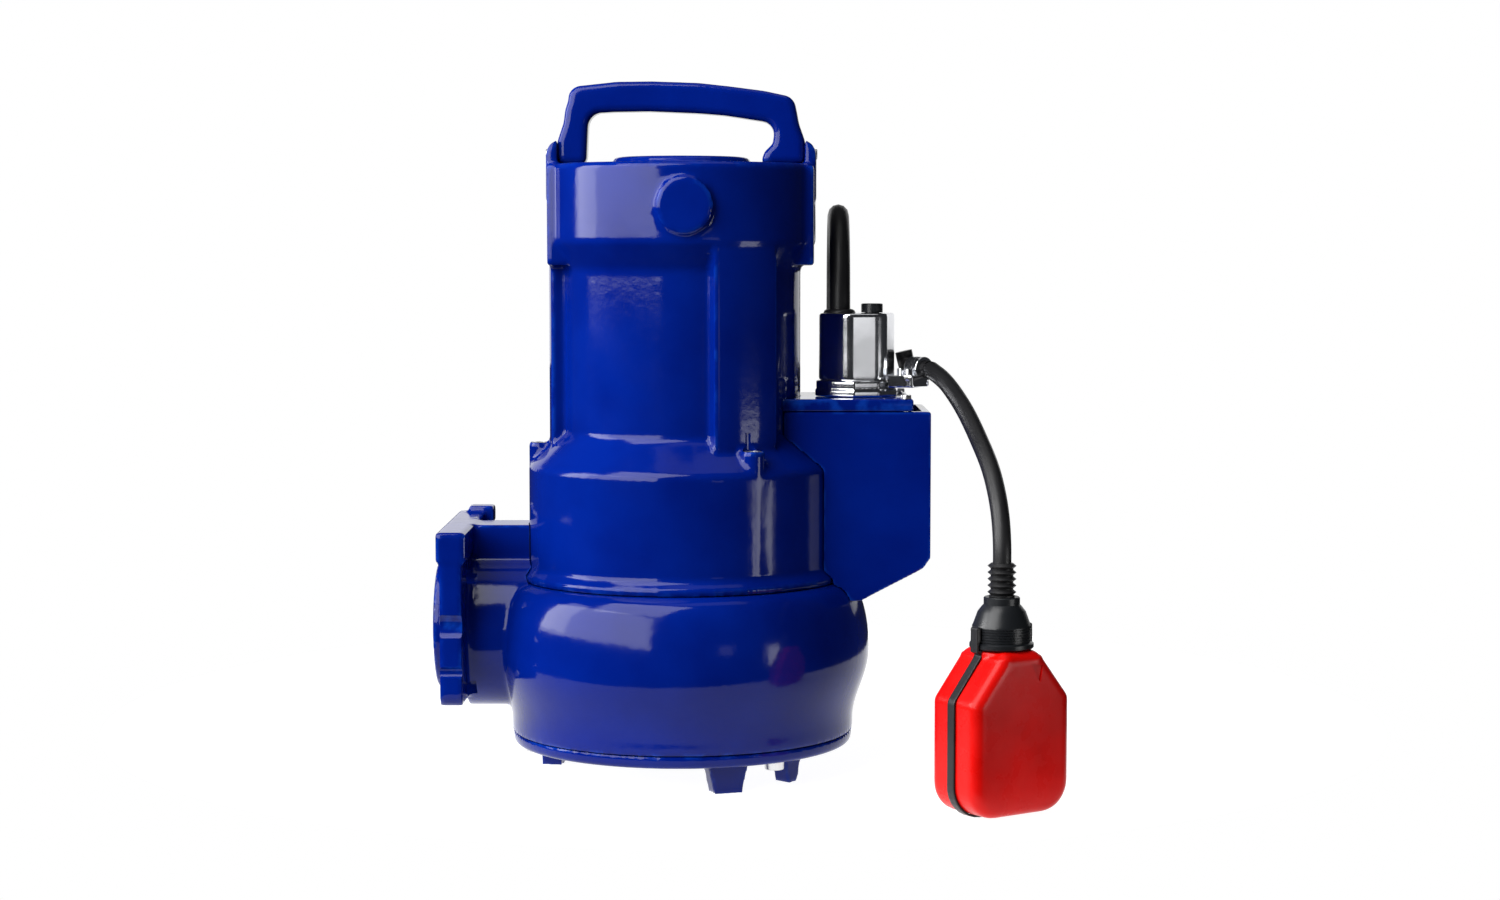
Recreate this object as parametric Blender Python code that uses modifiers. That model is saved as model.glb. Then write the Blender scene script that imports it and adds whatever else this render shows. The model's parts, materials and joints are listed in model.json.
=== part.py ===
"""Submersible sump pump with a hanging float switch, as separate solids.

Sizes are in millimetres in the pump's own frame: the shaft's axis is x = y = 0, the floor is z = 0,
the discharge flange looks along -X and the cable box stands on the +X side. The whole pump hangs from
one empty that puts the middle of its footprint at the origin.
"""

import math

import bmesh
import bpy
from mathutils import Matrix, Vector

MM = 0.001
FIT = 0.3  # gap between pieces that touch
ROUND = 36  # sides of the large castings

# Castings
FLOOR_GAP = 20.5  # underside of the suction cover above the floor
SEAM_Z = 29.5  # suction cover to volute
JOINT_Z = 134.0  # volute to motor housing
SHOULDER_Z = 230.0
COLLAR_Z = 366.5
TOP_Z = 420.0
BODY_R = 82.0
COLLAR_R = 92.4
LOWER_R = 106.0
VOLUTE_R = 130.0
RIM_R = 118.5
LOWER_BORE_R = 99.0
MOTOR_BORE_R = 74.0
RIB_ANGLES = (180.0, 300.0, 60.0)
RIB_R = 91.6
TIE_R = 98.2  # circle of the tie bolts
TIE_SEAT_Z = 220.0
TIE_BOSS_Z = 229.0

# Discharge flange, drilled as DN 50 PN 6
OUTLET_Z = 102.0
OUTLET_R = 25.0
FLANGE_BACK_X = -146.0
FLANGE_FACE_X = -161.0
RAISED_FACE_X = -169.3
CLAW_FACE_X = -163.3
CLAW_BACK_X = -143.5
RAISED_FACE_R = 44.0
FLANGE_HALF_WIDTH = 78.0
FLANGE_LOW_Z = 55.0
FLANGE_TOP_Z = 173.0
BOLT_CIRCLE_R = 55.0
FLANGE_HOLE_R = 7.0

# Suction cover
INLET_R = 32.5
FOOT_R = 92.0
FOOT_ANGLES = (-70.5, 49.5, 169.5)
LUG_ANGLES = (-42.0, 138.0)
SCREW_ANGLES = (-52.0, 68.0, 188.0)

# Handle
HANDLE_TOP_Z = 476.5
HANDLE_HALF_DEPTH = 13.0

# Cable box
BOX_RIGHT_X = 170.0
BOX_TOP_Z = 252.0
BOX_HALF_DEPTH = 45.0
LID_RIGHT_X = 158.0
LID_TOP_Z = 260.5

# Cable gland
GLAND_X = 121.0
GLAND_R = 25.5
GLAND_TOP_Z = 318.0
CABLE_X = 109.0
PLUG_X = 131.5

# Rotor
SHAFT_R = 9.7
ROTOR_R = 35.5
STACK_LOW_Z = 252.0
STACK_TOP_Z = 352.0

# Bearings: bore, outer radius, width, lower face
LOWER_BEARING = (10.0, 26.0, 15.0, 201.0)
UPPER_BEARING = (7.5, 17.5, 11.0, 396.0)

# Float switch
CLAMP_POINT = Vector((168.0, -10.0, 279.3))
FLOAT_FOOT = Vector((208.0, -160.0, 1.2))  # under the float's middle
FLOAT_TURN = 34.0
FLOAT_WIDTH = 79.0
FLOAT_HEIGHT = 107.0
FLOAT_DEPTH = 47.0
FLOAT_CABLE_R = 6.0

# Power cable
POWER_CABLE_R = 7.5
COIL_CENTRE = Vector((10.0, 285.0))
COIL_MEAN_R = 90.0
COIL_HALF_WIDTH = 31.0
COIL_HEIGHT = 76.0

COLOURS = {
    "blue_paint": ((0.005, 0.025, 0.42), 0.32, 0.0),
    "bare_iron": ((0.22, 0.22, 0.23), 0.55, 0.8),
    "chrome": ((0.85, 0.86, 0.88), 0.12, 1.0),
    "stainless": ((0.62, 0.62, 0.63), 0.30, 1.0),
    "core_steel": ((0.30, 0.31, 0.33), 0.45, 0.9),
    "copper": ((0.65, 0.27, 0.12), 0.40, 0.9),
    "bearing_steel": ((0.70, 0.71, 0.73), 0.18, 1.0),
    "carbon": ((0.05, 0.05, 0.05), 0.50, 0.0),
    "rubber": ((0.015, 0.015, 0.016), 0.50, 0.0),
    "black_plastic": ((0.02, 0.02, 0.022), 0.40, 0.0),
    "red_plastic": ((0.80, 0.01, 0.01), 0.30, 0.0),
    "white_plastic": ((0.80, 0.80, 0.76), 0.45, 0.0),
}


# --- Scene, materials and shape helpers ---------------------------------------------------------

for old in list(bpy.data.objects):
    bpy.data.objects.remove(old, do_unlink=True)

PARTS = bpy.data.collections.new("sump_pump")
CUTTERS = bpy.data.collections.new("sump_pump_cutters")
for collection in (PARTS, CUTTERS):
    bpy.context.scene.collection.children.link(collection)


def empty(name, parent, location):
    node = bpy.data.objects.new(name, None)
    PARTS.objects.link(node)
    node.parent = parent
    node.location = Vector(location) * MM
    return node


PUMP = empty("pump_frame", None, (0, 0, 0))


def paint(name):
    known = bpy.data.materials.get(name)
    if known:
        return known
    colour, roughness, metallic = COLOURS[name]
    made = bpy.data.materials.new(name)
    made.use_nodes = True
    shader = made.node_tree.nodes["Principled BSDF"]
    shader.inputs["Base Color"].default_value = (*colour, 1.0)
    shader.inputs["Roughness"].default_value = roughness
    shader.inputs["Metallic"].default_value = metallic
    return made


def piece(name, mesh, material=None, parent=None):
    """A part with its material, or a cutter where no material is given. The mesh is in millimetres."""
    mesh.transform(Matrix.Scale(MM, 4))
    node = bpy.data.objects.new(name, mesh)
    node.parent = parent or PUMP
    if material:
        PARTS.objects.link(node)
        mesh.materials.append(paint(material))
        mesh.shade_smooth()
        mesh.set_sharp_from_angle(angle=math.radians(35))
    else:
        CUTTERS.objects.link(node)
        node.hide_render = True
        node.display_type = "WIRE"
    return node


def mesh_from(shape, name):
    mesh = bpy.data.meshes.new(name)
    shape.to_mesh(mesh)
    shape.free()
    return mesh


def turned(name, profile, material=None, parent=None, steps=ROUND, centre=(0, 0), closed=False):
    """A profile of (radius, z) points turned about Z. It runs down the outer side, top to bottom."""
    shape = bmesh.new()
    points = [shape.verts.new((r, 0, z)) for r, z in profile]
    for a, b in zip(points, points[1:]):
        shape.edges.new((a, b))
    if closed:
        shape.edges.new((points[-1], points[0]))
    node = piece(name, mesh_from(shape, name), material, parent)
    node.location = Vector((*centre, 0)) * MM
    screw = node.modifiers.new("turn", "SCREW")
    screw.steps = screw.render_steps = steps
    screw.use_merge_vertices = True
    screw.merge_threshold = 0.00001
    screw.use_smooth_shade = True
    return node


def ring(name, inner_r, outer_r, low, high, material=None, parent=None, steps=24, centre=(0, 0)):
    profile = [(outer_r, high), (outer_r, low), (inner_r, low), (inner_r, high)]
    return turned(name, profile, material, parent, steps, centre, closed=True)


AXES = {
    "Z": Matrix.Identity(4),
    "X": Matrix(((0, 0, 1, 0), (1, 0, 0, 0), (0, 1, 0, 0), (0, 0, 0, 1))),
    "Y": Matrix(((1, 0, 0, 0), (0, 0, -1, 0), (0, 1, 0, 0), (0, 0, 0, 1))),
}


def cylinder(
    name, radius, centre, length, axis="Z", material=None, parent=None, sides=24, end_radius=None
):
    shape = bmesh.new()
    bmesh.ops.create_cone(
        shape,
        cap_ends=True,
        segments=sides,
        radius1=radius,
        radius2=radius if end_radius is None else end_radius,
        depth=length,
        matrix=Matrix.Translation(centre) @ AXES[axis],
    )
    return piece(name, mesh_from(shape, name), material, parent)


def box(name, low, high, material=None, parent=None):
    low, high = Vector(low), Vector(high)
    shape = bmesh.new()
    place = Matrix.Translation((low + high) / 2) @ Matrix.Diagonal((*(high - low), 1))
    bmesh.ops.create_cube(shape, size=1, matrix=place)
    return piece(name, mesh_from(shape, name), material, parent)


def plate(name, outlines, low, high, axis="Z", material=None, parent=None):
    """Flat outlines, the later ones holes in the first, pushed along an axis from low to high.
    An outline's points are (x, y) for axis Z, (y, z) for axis X and (x, z) for axis Y."""
    curve = bpy.data.curves.new(name, "CURVE")
    curve.dimensions = "2D"
    curve.fill_mode = "BOTH"
    curve.extrude = (high - low) / 2
    for outline in outlines:
        spline = curve.splines.new("POLY")
        spline.points.add(len(outline) - 1)
        spline.use_cyclic_u = True
        for point, (u, v) in zip(spline.points, outline):
            point.co = (u, v, 0, 1)
    guide = bpy.data.objects.new(name + "_outline", curve)
    bpy.context.scene.collection.objects.link(guide)
    flat = bpy.data.meshes.new_from_object(guide.evaluated_get(bpy.context.evaluated_depsgraph_get()))
    bpy.data.objects.remove(guide, do_unlink=True)
    shape = bmesh.new()
    shape.from_mesh(flat)
    bpy.data.meshes.remove(flat)
    bmesh.ops.remove_doubles(shape, verts=shape.verts, dist=0.001)
    bmesh.ops.recalc_face_normals(shape, faces=shape.faces)
    push = {"X": (1, 0, 0), "Y": (0, 1, 0), "Z": (0, 0, 1)}[axis]
    shape.transform(Matrix.Translation(Vector(push) * (low + high) / 2) @ AXES[axis])
    return piece(name, mesh_from(shape, name), material, parent)


def bevel(node, width, segments=1, angle=30):
    modifier = node.modifiers.new("edge", "BEVEL")
    modifier.width = width * MM
    modifier.segments = segments
    modifier.limit_method = "ANGLE"
    modifier.angle_limit = math.radians(angle)
    return node


def combine(node, tool, operation):
    modifier = node.modifiers.new(tool.name, "BOOLEAN")
    modifier.operation = operation
    modifier.object = tool
    return node


def cut(node, *tools):
    for tool in tools:
        combine(node, tool, "DIFFERENCE")
    return node


def join(node, *tools):
    for tool in tools:
        combine(node, tool, "UNION")
    return node


def polar(radius, degrees, z=0.0):
    angle = math.radians(degrees)
    return Vector((radius * math.cos(angle), radius * math.sin(angle), z))


def turn(node, degrees):
    node.rotation_euler.z = math.radians(degrees)
    return node


def smooth_path(route, spacing):
    """Points every spacing or so along a smooth curve through the route's points."""
    points = [Vector(p) for p in route]
    ends = [points[0] * 2 - points[1], *points, points[-1] * 2 - points[-2]]
    path = []
    for a, b, c, d in zip(ends, ends[1:], ends[2:], ends[3:]):
        count = max(1, round((c - b).length / spacing))
        for i in range(count):
            t = i / count
            square = (2 * a - 5 * b + 4 * c - d) * t**2
            cube = (3 * b - a - 3 * c + d) * t**3
            path.append(0.5 * (2 * b + (c - a) * t + square + cube))
    return [*path, points[-1]]


def tube(name, path, radius, material, parent=None, sides=2, radii=None):
    curve = bpy.data.curves.new(name, "CURVE")
    curve.dimensions = "3D"
    curve.bevel_depth = radius * MM
    curve.bevel_resolution = sides
    curve.use_fill_caps = True
    spline = curve.splines.new("POLY")
    spline.points.add(len(path) - 1)
    for i, (point, place) in enumerate(zip(spline.points, path)):
        point.co = (*(Vector(place) * MM), 1)
        point.radius = radii[i] if radii else 1.0
    curve.materials.append(paint(material))
    node = bpy.data.objects.new(name, curve)
    PARTS.objects.link(node)
    node.parent = parent or PUMP
    return node


def screw_piece(name, place, shank_r, shank, head_r, head, material="stainless", parent=None, up=1):
    """A cap screw along Z with its head's seat at place. Up is -1 for a screw put in from below."""
    profile = [
        (0, head),
        (head_r - 0.8, head),
        (head_r, head - 0.8),
        (head_r, 0),
        (shank_r, 0),
        (shank_r, -shank),
        (0, -shank),
    ]
    if up < 0:
        profile = [(r, -z) for r, z in reversed(profile)]
    node = turned(name, profile, material, parent, steps=8)
    node.location = Vector(place) * MM
    return node


def half_turn(centre, radius, start, end, steps=4):
    """Points of an arc, in a plane outline."""
    angles = [math.radians(start + (end - start) * i / steps) for i in range(steps + 1)]
    return [(centre[0] + radius * math.cos(a), centre[1] + radius * math.sin(a)) for a in angles]


# --- Castings -----------------------------------------------------------------------------------

HOUSING_PROFILE = [
    (0, TOP_Z + 5),
    (45, TOP_Z + 5),
    (48, TOP_Z),
    (90, TOP_Z),
    (COLLAR_R, TOP_Z - 3),
    (COLLAR_R, COLLAR_Z),
    (BODY_R, COLLAR_Z - 17),
    (BODY_R, SHOULDER_Z + 6),
    (84.5, SHOULDER_Z + 3),
    (103.5, SHOULDER_Z - 15),
    (LOWER_R, SHOULDER_Z - 19),
    (LOWER_R, JOINT_Z + 9.5),
    (111, JOINT_Z + 4.5),
    (111, JOINT_Z + FIT),
]
VOLUTE_PROFILE = [
    (112, JOINT_Z),
    (112, JOINT_Z - 7),
    (121, 123.5),
    (127.5, 116),
    (VOLUTE_R, 104),
    (VOLUTE_R, 88),
    (128.2, 74),
    (126, 61),
    (122, 51),
    (119.5, 42),
    (RIM_R, SEAM_Z),
]
CHAMBER_PROFILE = [
    (0, JOINT_Z + 6),
    (90.3, JOINT_Z + 6),
    (90.3, 122),
    (80, 122),
    (108, 116),
    (119.5, 100),
    (119.5, 84),
    (115, 56),
    (90.4, 41),
    (90.4, SEAM_Z - 6),
    (0, SEAM_Z - 6),
]


def motor_housing():
    housing = turned("motor_housing", [*HOUSING_PROFILE, (0, JOINT_Z + FIT)], "blue_paint", steps=ROUND)
    for number, angle in enumerate(RIB_ANGLES, 1):
        outline = [(70, -20), *half_turn((0, 0), RIB_R, -15, 15, 3), (70, 20)]
        rib = plate(f"rib_{number}", [outline], SHOULDER_Z - 8, COLLAR_Z + 7)
        join(housing, turn(rib, angle))
    for side, name in ((-1, "left"), (1, "right")):
        outline = [(85.3, 395), (92.4, 395), (92.4, 428), (89.8, 433), (85.3, 436)]
        cheek = plate(f"cheek_{name}", [[(side * x, z) for x, z in outline]], -17, 17, "Y")
        ends = sorted((side * 78, side * 90.4))
        pad = box(f"pad_{name}", (ends[0], -38, 351), (ends[1], 38, TOP_Z - 1.5))
        ends = sorted((side * 80, side * 87))
        back = box(f"cheek_back_{name}", (ends[0], 13.4, 400), (ends[1], 17, TOP_Z + 13))
        join(housing, cheek, pad, back)
    join(housing, cylinder("boss", 19, (4, -88, 391), 16, "Y"))
    cavity = [
        (0, 410),
        (UPPER_BEARING[1] + FIT, 410),
        (UPPER_BEARING[1] + FIT, 392),
        (24, 392),
        (24, 412),
        (MOTOR_BORE_R, 412),
        (MOTOR_BORE_R, 214.3),
        (LOWER_BORE_R, 214.3),
        (LOWER_BORE_R, 125),
        (0, 125),
    ]
    cut(housing, turned("motor_cavity", cavity))
    for number, angle in enumerate(RIB_ANGLES, 1):
        place = polar(TIE_R, angle)
        height = TIE_BOSS_Z - JOINT_Z - FIT
        middle = place + Vector((0, 0, JOINT_Z + FIT + height / 2))
        join(housing, cylinder(f"tie_boss_{number}", 8, middle, height, sides=12))
        cut(housing, cylinder(f"tie_hole_{number}", 4.4, middle, height + 20, sides=8))
        top = place + Vector((0, 0, TIE_SEAT_Z + 10))
        cut(housing, cylinder(f"tie_pocket_{number}", 6.9, top, 20, sides=12))
    for side, name in ((-1, "left"), (1, "right")):
        hole = cylinder(f"cheek_hole_{name}", 3.8, (side * 90, 0, TOP_Z + 7), 20, "X", sides=12)
        cut(housing, hole)
    cut(housing, cylinder("lead_hole", 9, (80, 0, 240), 30, "X", sides=16))
    cut(housing, turn(cylinder("oil_hole", 7.4, (105, 0, 172), 20, "X", sides=16), 120))


def carrying_handle():
    outline = [
        (-84.9, TOP_Z + FIT),
        (-84.9, 436),
        (-80.5, 448),
        (-79, 458),
        (-75.5, 469),
        (-68, 473.5),
        (-44, 476.3),
        (-20, HANDLE_TOP_Z),
        (12, 475.4),
        (57, 470),
        (74, 465.5),
        (79, 458),
        (81, 447),
        (84.9, 436),
        (84.9, TOP_Z + FIT),
        (54, TOP_Z + FIT),
        (63.5, 435),
        (62.5, 442),
        (57, 448),
        (30, 453.2),
        (12, 454.6),
        (-22, 456),
        (-50, 455.3),
        (-59, 451.5),
        (-63, 444),
        (-65, TOP_Z + FIT),
    ]
    handle = plate("carrying_handle", [outline], -HANDLE_HALF_DEPTH, HANDLE_HALF_DEPTH, "Y", "blue_paint")
    bevel(handle, 4, 2, 50)
    for side, name in ((-1, "left"), (1, "right")):
        cut(handle, cylinder(f"handle_hole_{name}", 3.8, (side * 80, 0, TOP_Z + 7), 20, "X", sides=12))
        middle = (side * 83.5, 0, TOP_Z + 7)
        cylinder(f"handle_screw_{name}", 3.5, middle, 20, "X", "stainless", sides=12)


def volute_casing():
    profile = [(0, JOINT_Z), *VOLUTE_PROFILE, (0, SEAM_Z)]
    casing = turned("volute_casing", profile, "blue_paint", steps=ROUND)
    neck = cylinder("neck", 52, ((FLANGE_BACK_X - 104) / 2, 0, 98), 45, "X", sides=24)
    corner = 10
    width = FLANGE_HALF_WIDTH
    low = FLANGE_LOW_Z
    outline = [
        *half_turn((-width + corner, low + corner), corner, 180, 270),
        *half_turn((width - corner, low + corner), corner, 270, 360),
        (width, FLANGE_TOP_Z - 4),
        (-width, FLANGE_TOP_Z - 4),
    ]
    flange = plate("flange_plate", [outline], FLANGE_FACE_X, FLANGE_BACK_X, "X")
    claw = box("flange_claw", (CLAW_FACE_X, -width - 0.5, 153), (CLAW_BACK_X, width + 0.5, FLANGE_TOP_Z))
    middle = ((RAISED_FACE_X + FLANGE_BACK_X) / 2, 0, OUTLET_Z)
    raised = cylinder("raised_face", RAISED_FACE_R, middle, FLANGE_BACK_X - RAISED_FACE_X, "X", sides=28)
    stop = box("claw_stop", (-155, 62, 165), (-137, width + 0.5, 177))
    web = box("flange_web", (FLANGE_BACK_X - 5, -18, 130), (-98, 18, FLANGE_TOP_Z - 1))
    join(casing, neck, flange, claw, stop, raised, web)
    clearance = [
        (0, 190),
        (LOWER_R + 0.5, 190),
        (LOWER_R + 0.5, JOINT_Z + 9.8),
        (111.5, JOINT_Z + 4.8),
        (111.5, JOINT_Z),
        (0, JOINT_Z),
    ]
    cut(casing, turned("housing_clearance", clearance))
    cut(casing, turned("pump_chamber", CHAMBER_PROFILE))
    cut(casing, cylinder("outlet_bore", OUTLET_R, (-132, 0, OUTLET_Z), 100, "X", sides=24))
    for number, angle in enumerate((45, 135, 225, 315), 1):
        offset = polar(BOLT_CIRCLE_R, angle)
        middle = (-160, offset.x, OUTLET_Z + offset.y)
        cut(casing, cylinder(f"flange_hole_{number}", FLANGE_HOLE_R, middle, 40, "X", sides=12))
    for number, angle in enumerate(RIB_ANGLES, 1):
        middle = polar(TIE_R, angle, 131.5)
        cut(casing, cylinder(f"tie_thread_{number}", 4.4, middle, 20, sides=8))
    for number, angle in enumerate(SCREW_ANGLES, 1):
        middle = polar(103, angle, 30)
        cut(casing, cylinder(f"cover_thread_{number}", 4.4, middle, 18, sides=8))


def suction_cover():
    profile = [
        (38, 40),
        (89.9, 38),
        (89.9, 36.4),
        (87.6, 36.4),
        (87.6, 33.2),
        (89.9, 33.2),
        (89.9, SEAM_Z - FIT),
        (RIM_R - 0.7, SEAM_Z - FIT),
        (RIM_R - 0.7, FLOOR_GAP + 4.5),
        (RIM_R - 4, FLOOR_GAP),
        (INLET_R + 5, FLOOR_GAP),
        (INLET_R, FLOOR_GAP + 5),
        (INLET_R, 40),
    ]
    cover = turned("suction_cover", profile, "blue_paint", closed=True)
    root = FLOOR_GAP + 3
    for number, angle in enumerate(FOOT_ANGLES, 1):
        outline = [(-15, root), (-9.7, 0), (9.7, 0), (15, root)]
        join(cover, turn(plate(f"foot_{number}", [outline], FOOT_R - 7, FOOT_R + 7, "X"), angle))
    for number, angle in enumerate(LUG_ANGLES, 1):
        outline = [(-10, root), (-4.5, 3), (4.5, 3), (9, root)]
        join(cover, turn(plate(f"lug_{number}", [outline], 90, 103, "X"), angle))
    for number, angle in enumerate(SCREW_ANGLES, 1):
        place = polar(103, angle, FLOOR_GAP)
        cut(cover, cylinder(f"cover_hole_{number}", 4.4, place + Vector((0, 0, 4)), 20, sides=8))
        screw_piece(f"cover_screw_{number}", place - Vector((0, 0, FIT)), 4, 15, 6.5, 6, up=-1)
    turned("cover_o_ring", o_ring_profile(88.8, 34.8, 1.0), "rubber", closed=True)


def o_ring_profile(mean_r, z, thickness, sides=5):
    angles = [-2 * math.pi * i / sides for i in range(sides)]
    return [(mean_r + thickness * math.cos(a), z + thickness * math.sin(a)) for a in angles]


def tie_bolts():
    for number, angle in enumerate(RIB_ANGLES, 1):
        screw_piece(f"tie_bolt_{number}", polar(TIE_R, angle, TIE_SEAT_Z + FIT), 4, 97, 6.5, 8)


def cable_box():
    outline = [
        (60, BOX_TOP_Z),
        (60, 116),
        (123, 123),
        (165, 145),
        (BOX_RIGHT_X, 152),
        (BOX_RIGHT_X, BOX_TOP_Z),
    ]
    shell = plate("cable_box", [outline], -BOX_HALF_DEPTH, BOX_HALF_DEPTH, "Y", "blue_paint")
    bevel(shell, 3, 1, 50)
    low = (62, -BOX_HALF_DEPTH, BOX_TOP_Z + FIT)
    lid = box("box_lid", low, (LID_RIGHT_X, BOX_HALF_DEPTH, LID_TOP_Z), "blue_paint")
    bevel(lid, 1.5)
    gap = 0.4
    around = [(r + gap, z) for r, z in HOUSING_PROFILE[5:-2]]
    around += [(112 + gap, JOINT_Z + 5)]
    around += [(r + gap, z) for r, z in VOLUTE_PROFILE[1:6]]
    cast = turned("body_clearance", [(0, COLLAR_Z), *around, (0, 88)], steps=ROUND)
    pocket = box("box_pocket", (116, -38, 150), (BOX_RIGHT_X - 6, 38, BOX_TOP_Z + 10))
    cut(shell, cast, pocket)
    cut(lid, cast, cylinder("lid_hole", 12, (GLAND_X, 0, BOX_TOP_Z), 40, sides=16))
    for name, y in (("front", -38), ("back", 38)):
        middle = (BOX_RIGHT_X - 17, y * 1.08, BOX_TOP_Z)
        cut(shell, cylinder(f"lid_thread_{name}", 2.3, middle, 24, sides=10))
        cut(lid, cylinder(f"lid_screw_hole_{name}", 2.3, middle, 40, sides=10))
        seat = (middle[0], middle[1], LID_TOP_Z + FIT)
        screw_piece(f"box_lid_screw_{name}", seat, 2, 16, 3.6, 2.5)
    cylinder("capacitor", 17, (141, 16, 196), 84, "Z", "white_plastic", sides=20)
    box("terminal_block", (120, -34, 150.3), (150, -12, 176), "white_plastic")


# --- Motor, bearings, seals ---------------------------------------------------------------------


def stator():
    inner, outer = ROTOR_R + 0.7, MOTOR_BORE_R - FIT
    ring("stator_core", inner, outer, STACK_LOW_Z, STACK_TOP_Z, "core_steel", steps=ROUND)
    for name, low, high in (("upper", STACK_TOP_Z + FIT, 380), ("lower", 225, STACK_LOW_Z - FIT)):
        profile = [(60, high), (68, high - 6), (68, low + 6), (60, low), (42, low), (42, high)]
        turned(f"winding_{name}", profile, "copper", steps=24, closed=True)


def bearing(name, bore, outer, width, low, shaft_body):
    """An outer ring, an inner ring and a cage full of balls, each with a running groove."""
    middle_r = (bore + outer) / 2
    ball_r = 0.28 * (outer - bore)
    middle_z = low + width / 2
    arc = [math.radians(a) for a in (-50, 0, 50)]
    groove_r = (ball_r + FIT) / math.cos(arc[2] / 2)
    outer_groove = [(middle_r + groove_r * math.cos(a), middle_z + groove_r * math.sin(a)) for a in arc]
    inner_groove = [(middle_r - groove_r * math.cos(a), middle_z - groove_r * math.sin(a)) for a in arc]
    land = outer_groove[0][0]
    profile = [(outer, low + width), (outer, low), (land, low), *outer_groove, (land, low + width)]
    turned(f"{name}_bearing_outer", profile, "bearing_steel", steps=20, closed=True)
    land = inner_groove[0][0]
    profile = [(land, low + width), *inner_groove, (land, low), (bore, low), (bore, low + width)]
    turned(f"{name}_bearing_inner", profile, "bearing_steel", shaft_body, steps=20, closed=True)
    half = ball_r * 0.8
    spans = (middle_r - 1.2, middle_r + 1.2, middle_z - half, middle_z + half)
    cage = ring(f"{name}_bearing_cage", *spans, "bearing_steel", steps=14)
    balls = bmesh.new()
    for i in range(7):
        place = Matrix.Translation(polar(middle_r, 360 * i / 7, middle_z))
        bmesh.ops.create_uvsphere(balls, u_segments=6, v_segments=5, radius=ball_r, matrix=place)
    join(cage, piece(f"{name}_balls", mesh_from(balls, f"{name}_balls")))


def shaft_supports():
    profile = [
        (34, 222),
        (34, 213.9),
        (89.4, 213.9),
        (89.4, 203),
        (38, 198),
        (30, 185),
        (20.3, 185),
        (20.3, 196.5),
        (14, 196.5),
        (14, 200.7),
        (26.3, 200.7),
        (26.3, 222),
    ]
    turned("bearing_bracket", profile, "bare_iron", steps=28, closed=True)
    ring("lip_seal", 10.4, 20, 187, 196, "rubber")
    profile = [
        (89.3, 140),
        (89.3, JOINT_Z),
        (90, JOINT_Z),
        (90, 130),
        (87.6, 130),
        (87.6, 126.4),
        (90, 126.4),
        (90, 122.3),
        (11.2, 122.3),
        (11.2, 131),
        (19.3, 131),
        (19.3, 140),
    ]
    turned("oil_chamber_cover", profile, "bare_iron", closed=True)
    turned("housing_o_ring", o_ring_profile(88.9, 128.2, 1.0), "rubber", closed=True)
    ring("seal_seat", 11.2, 19, 131.3, 138, "carbon")
    plug = cylinder("oil_plug", 7, (105, 0, 172), 10, "X", "bare_iron", sides=16)
    head = cylinder("oil_plug_head", 9.5, (111, 0, 172), 4.4, "X", sides=6)
    join(turn(plug, 120), turn(head, 120))


def rotor():
    """Everything that turns with the shaft."""
    axis = empty("rotor_axis", PUMP, (0, 0, 0))
    profile = [
        (0, 408),
        (7.2, 408),
        (7.2, 393),
        (12, 391),
        (12, 219),
        (SHAFT_R, 217),
        (SHAFT_R, 76),
        (4.4, 76),
        (4.4, 100),
        (0, 100),
    ]
    turned("shaft", profile, "stainless", axis, steps=24)
    profile = [(33, 358), (ROTOR_R, 351), (ROTOR_R, 253), (33, 246), (12.3, 246), (12.3, 358)]
    turned("rotor_core", profile, "core_steel", axis, steps=28, closed=True)
    ring("seal_ring", 10, 17, 138.3, 146, "carbon", axis)
    coils, points = 2.5, 10
    count = int(coils * points)
    wire = [polar(14.5, 360 * i / points, 148 + 30 * i / count) for i in range(count + 1)]
    tube("seal_spring", wire, 1.2, "stainless", axis)
    profile = [(15, 120), (15, 113), (62, 113), (62, 109), (18, 106), (15, 98)]
    profile += [(15, 74), (10, 74), (10, 120)]
    impeller = turned("impeller", profile, "bare_iron", axis, steps=28, closed=True)
    blades = bmesh.new()
    for i in range(7):
        place = Matrix.Rotation(2 * math.pi * i / 7, 4, "Z") @ Matrix.Translation((36, 0, 98))
        tilt = Matrix.Rotation(math.radians(-14), 4, "Z")
        bmesh.ops.create_cube(blades, size=1, matrix=place @ tilt @ Matrix.Diagonal((46, 4, 26, 1)))
    join(impeller, piece("impeller_blades", mesh_from(blades, "impeller_blades"), parent=axis))
    ring("impeller_washer", 4.8, 14, 70.7, 73.7, "stainless", axis, steps=20)
    screw_piece("impeller_bolt", (0, 0, 70.4), 4, 24, 8, 8, parent=axis, up=-1)
    bearing("lower", *LOWER_BEARING, axis)
    bearing("upper", *UPPER_BEARING, axis)


# --- Gland, clamp and cables --------------------------------------------------------------------


def cable_gland():
    profile = [
        (0, GLAND_TOP_Z),
        (GLAND_R - 2.5, GLAND_TOP_Z),
        (GLAND_R, GLAND_TOP_Z - 2.5),
        (GLAND_R, 272),
        (28, 272),
        (28, 266.5),
        (28.8, 265.5),
        (28.8, LID_TOP_Z + FIT),
        (0, LID_TOP_Z + FIT),
    ]
    gland = turned("cable_gland", profile, "chrome", steps=14, centre=(GLAND_X, 0))
    cut(gland, cylinder("grommet_pocket", 11.3, (CABLE_X, 0, GLAND_TOP_Z), 18, sides=20))
    cut(gland, cylinder("plug_pocket", 5.4, (PLUG_X, 0, GLAND_TOP_Z), 26, sides=14))
    ring("gland_grommet", 7.9, 11, 309.3, 320, "rubber", centre=(CABLE_X, 0), steps=24)
    screw_piece("gland_plug", (PLUG_X, 0, GLAND_TOP_Z + FIT), 5, 11, 7.5, 6, "black_plastic")


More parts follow.
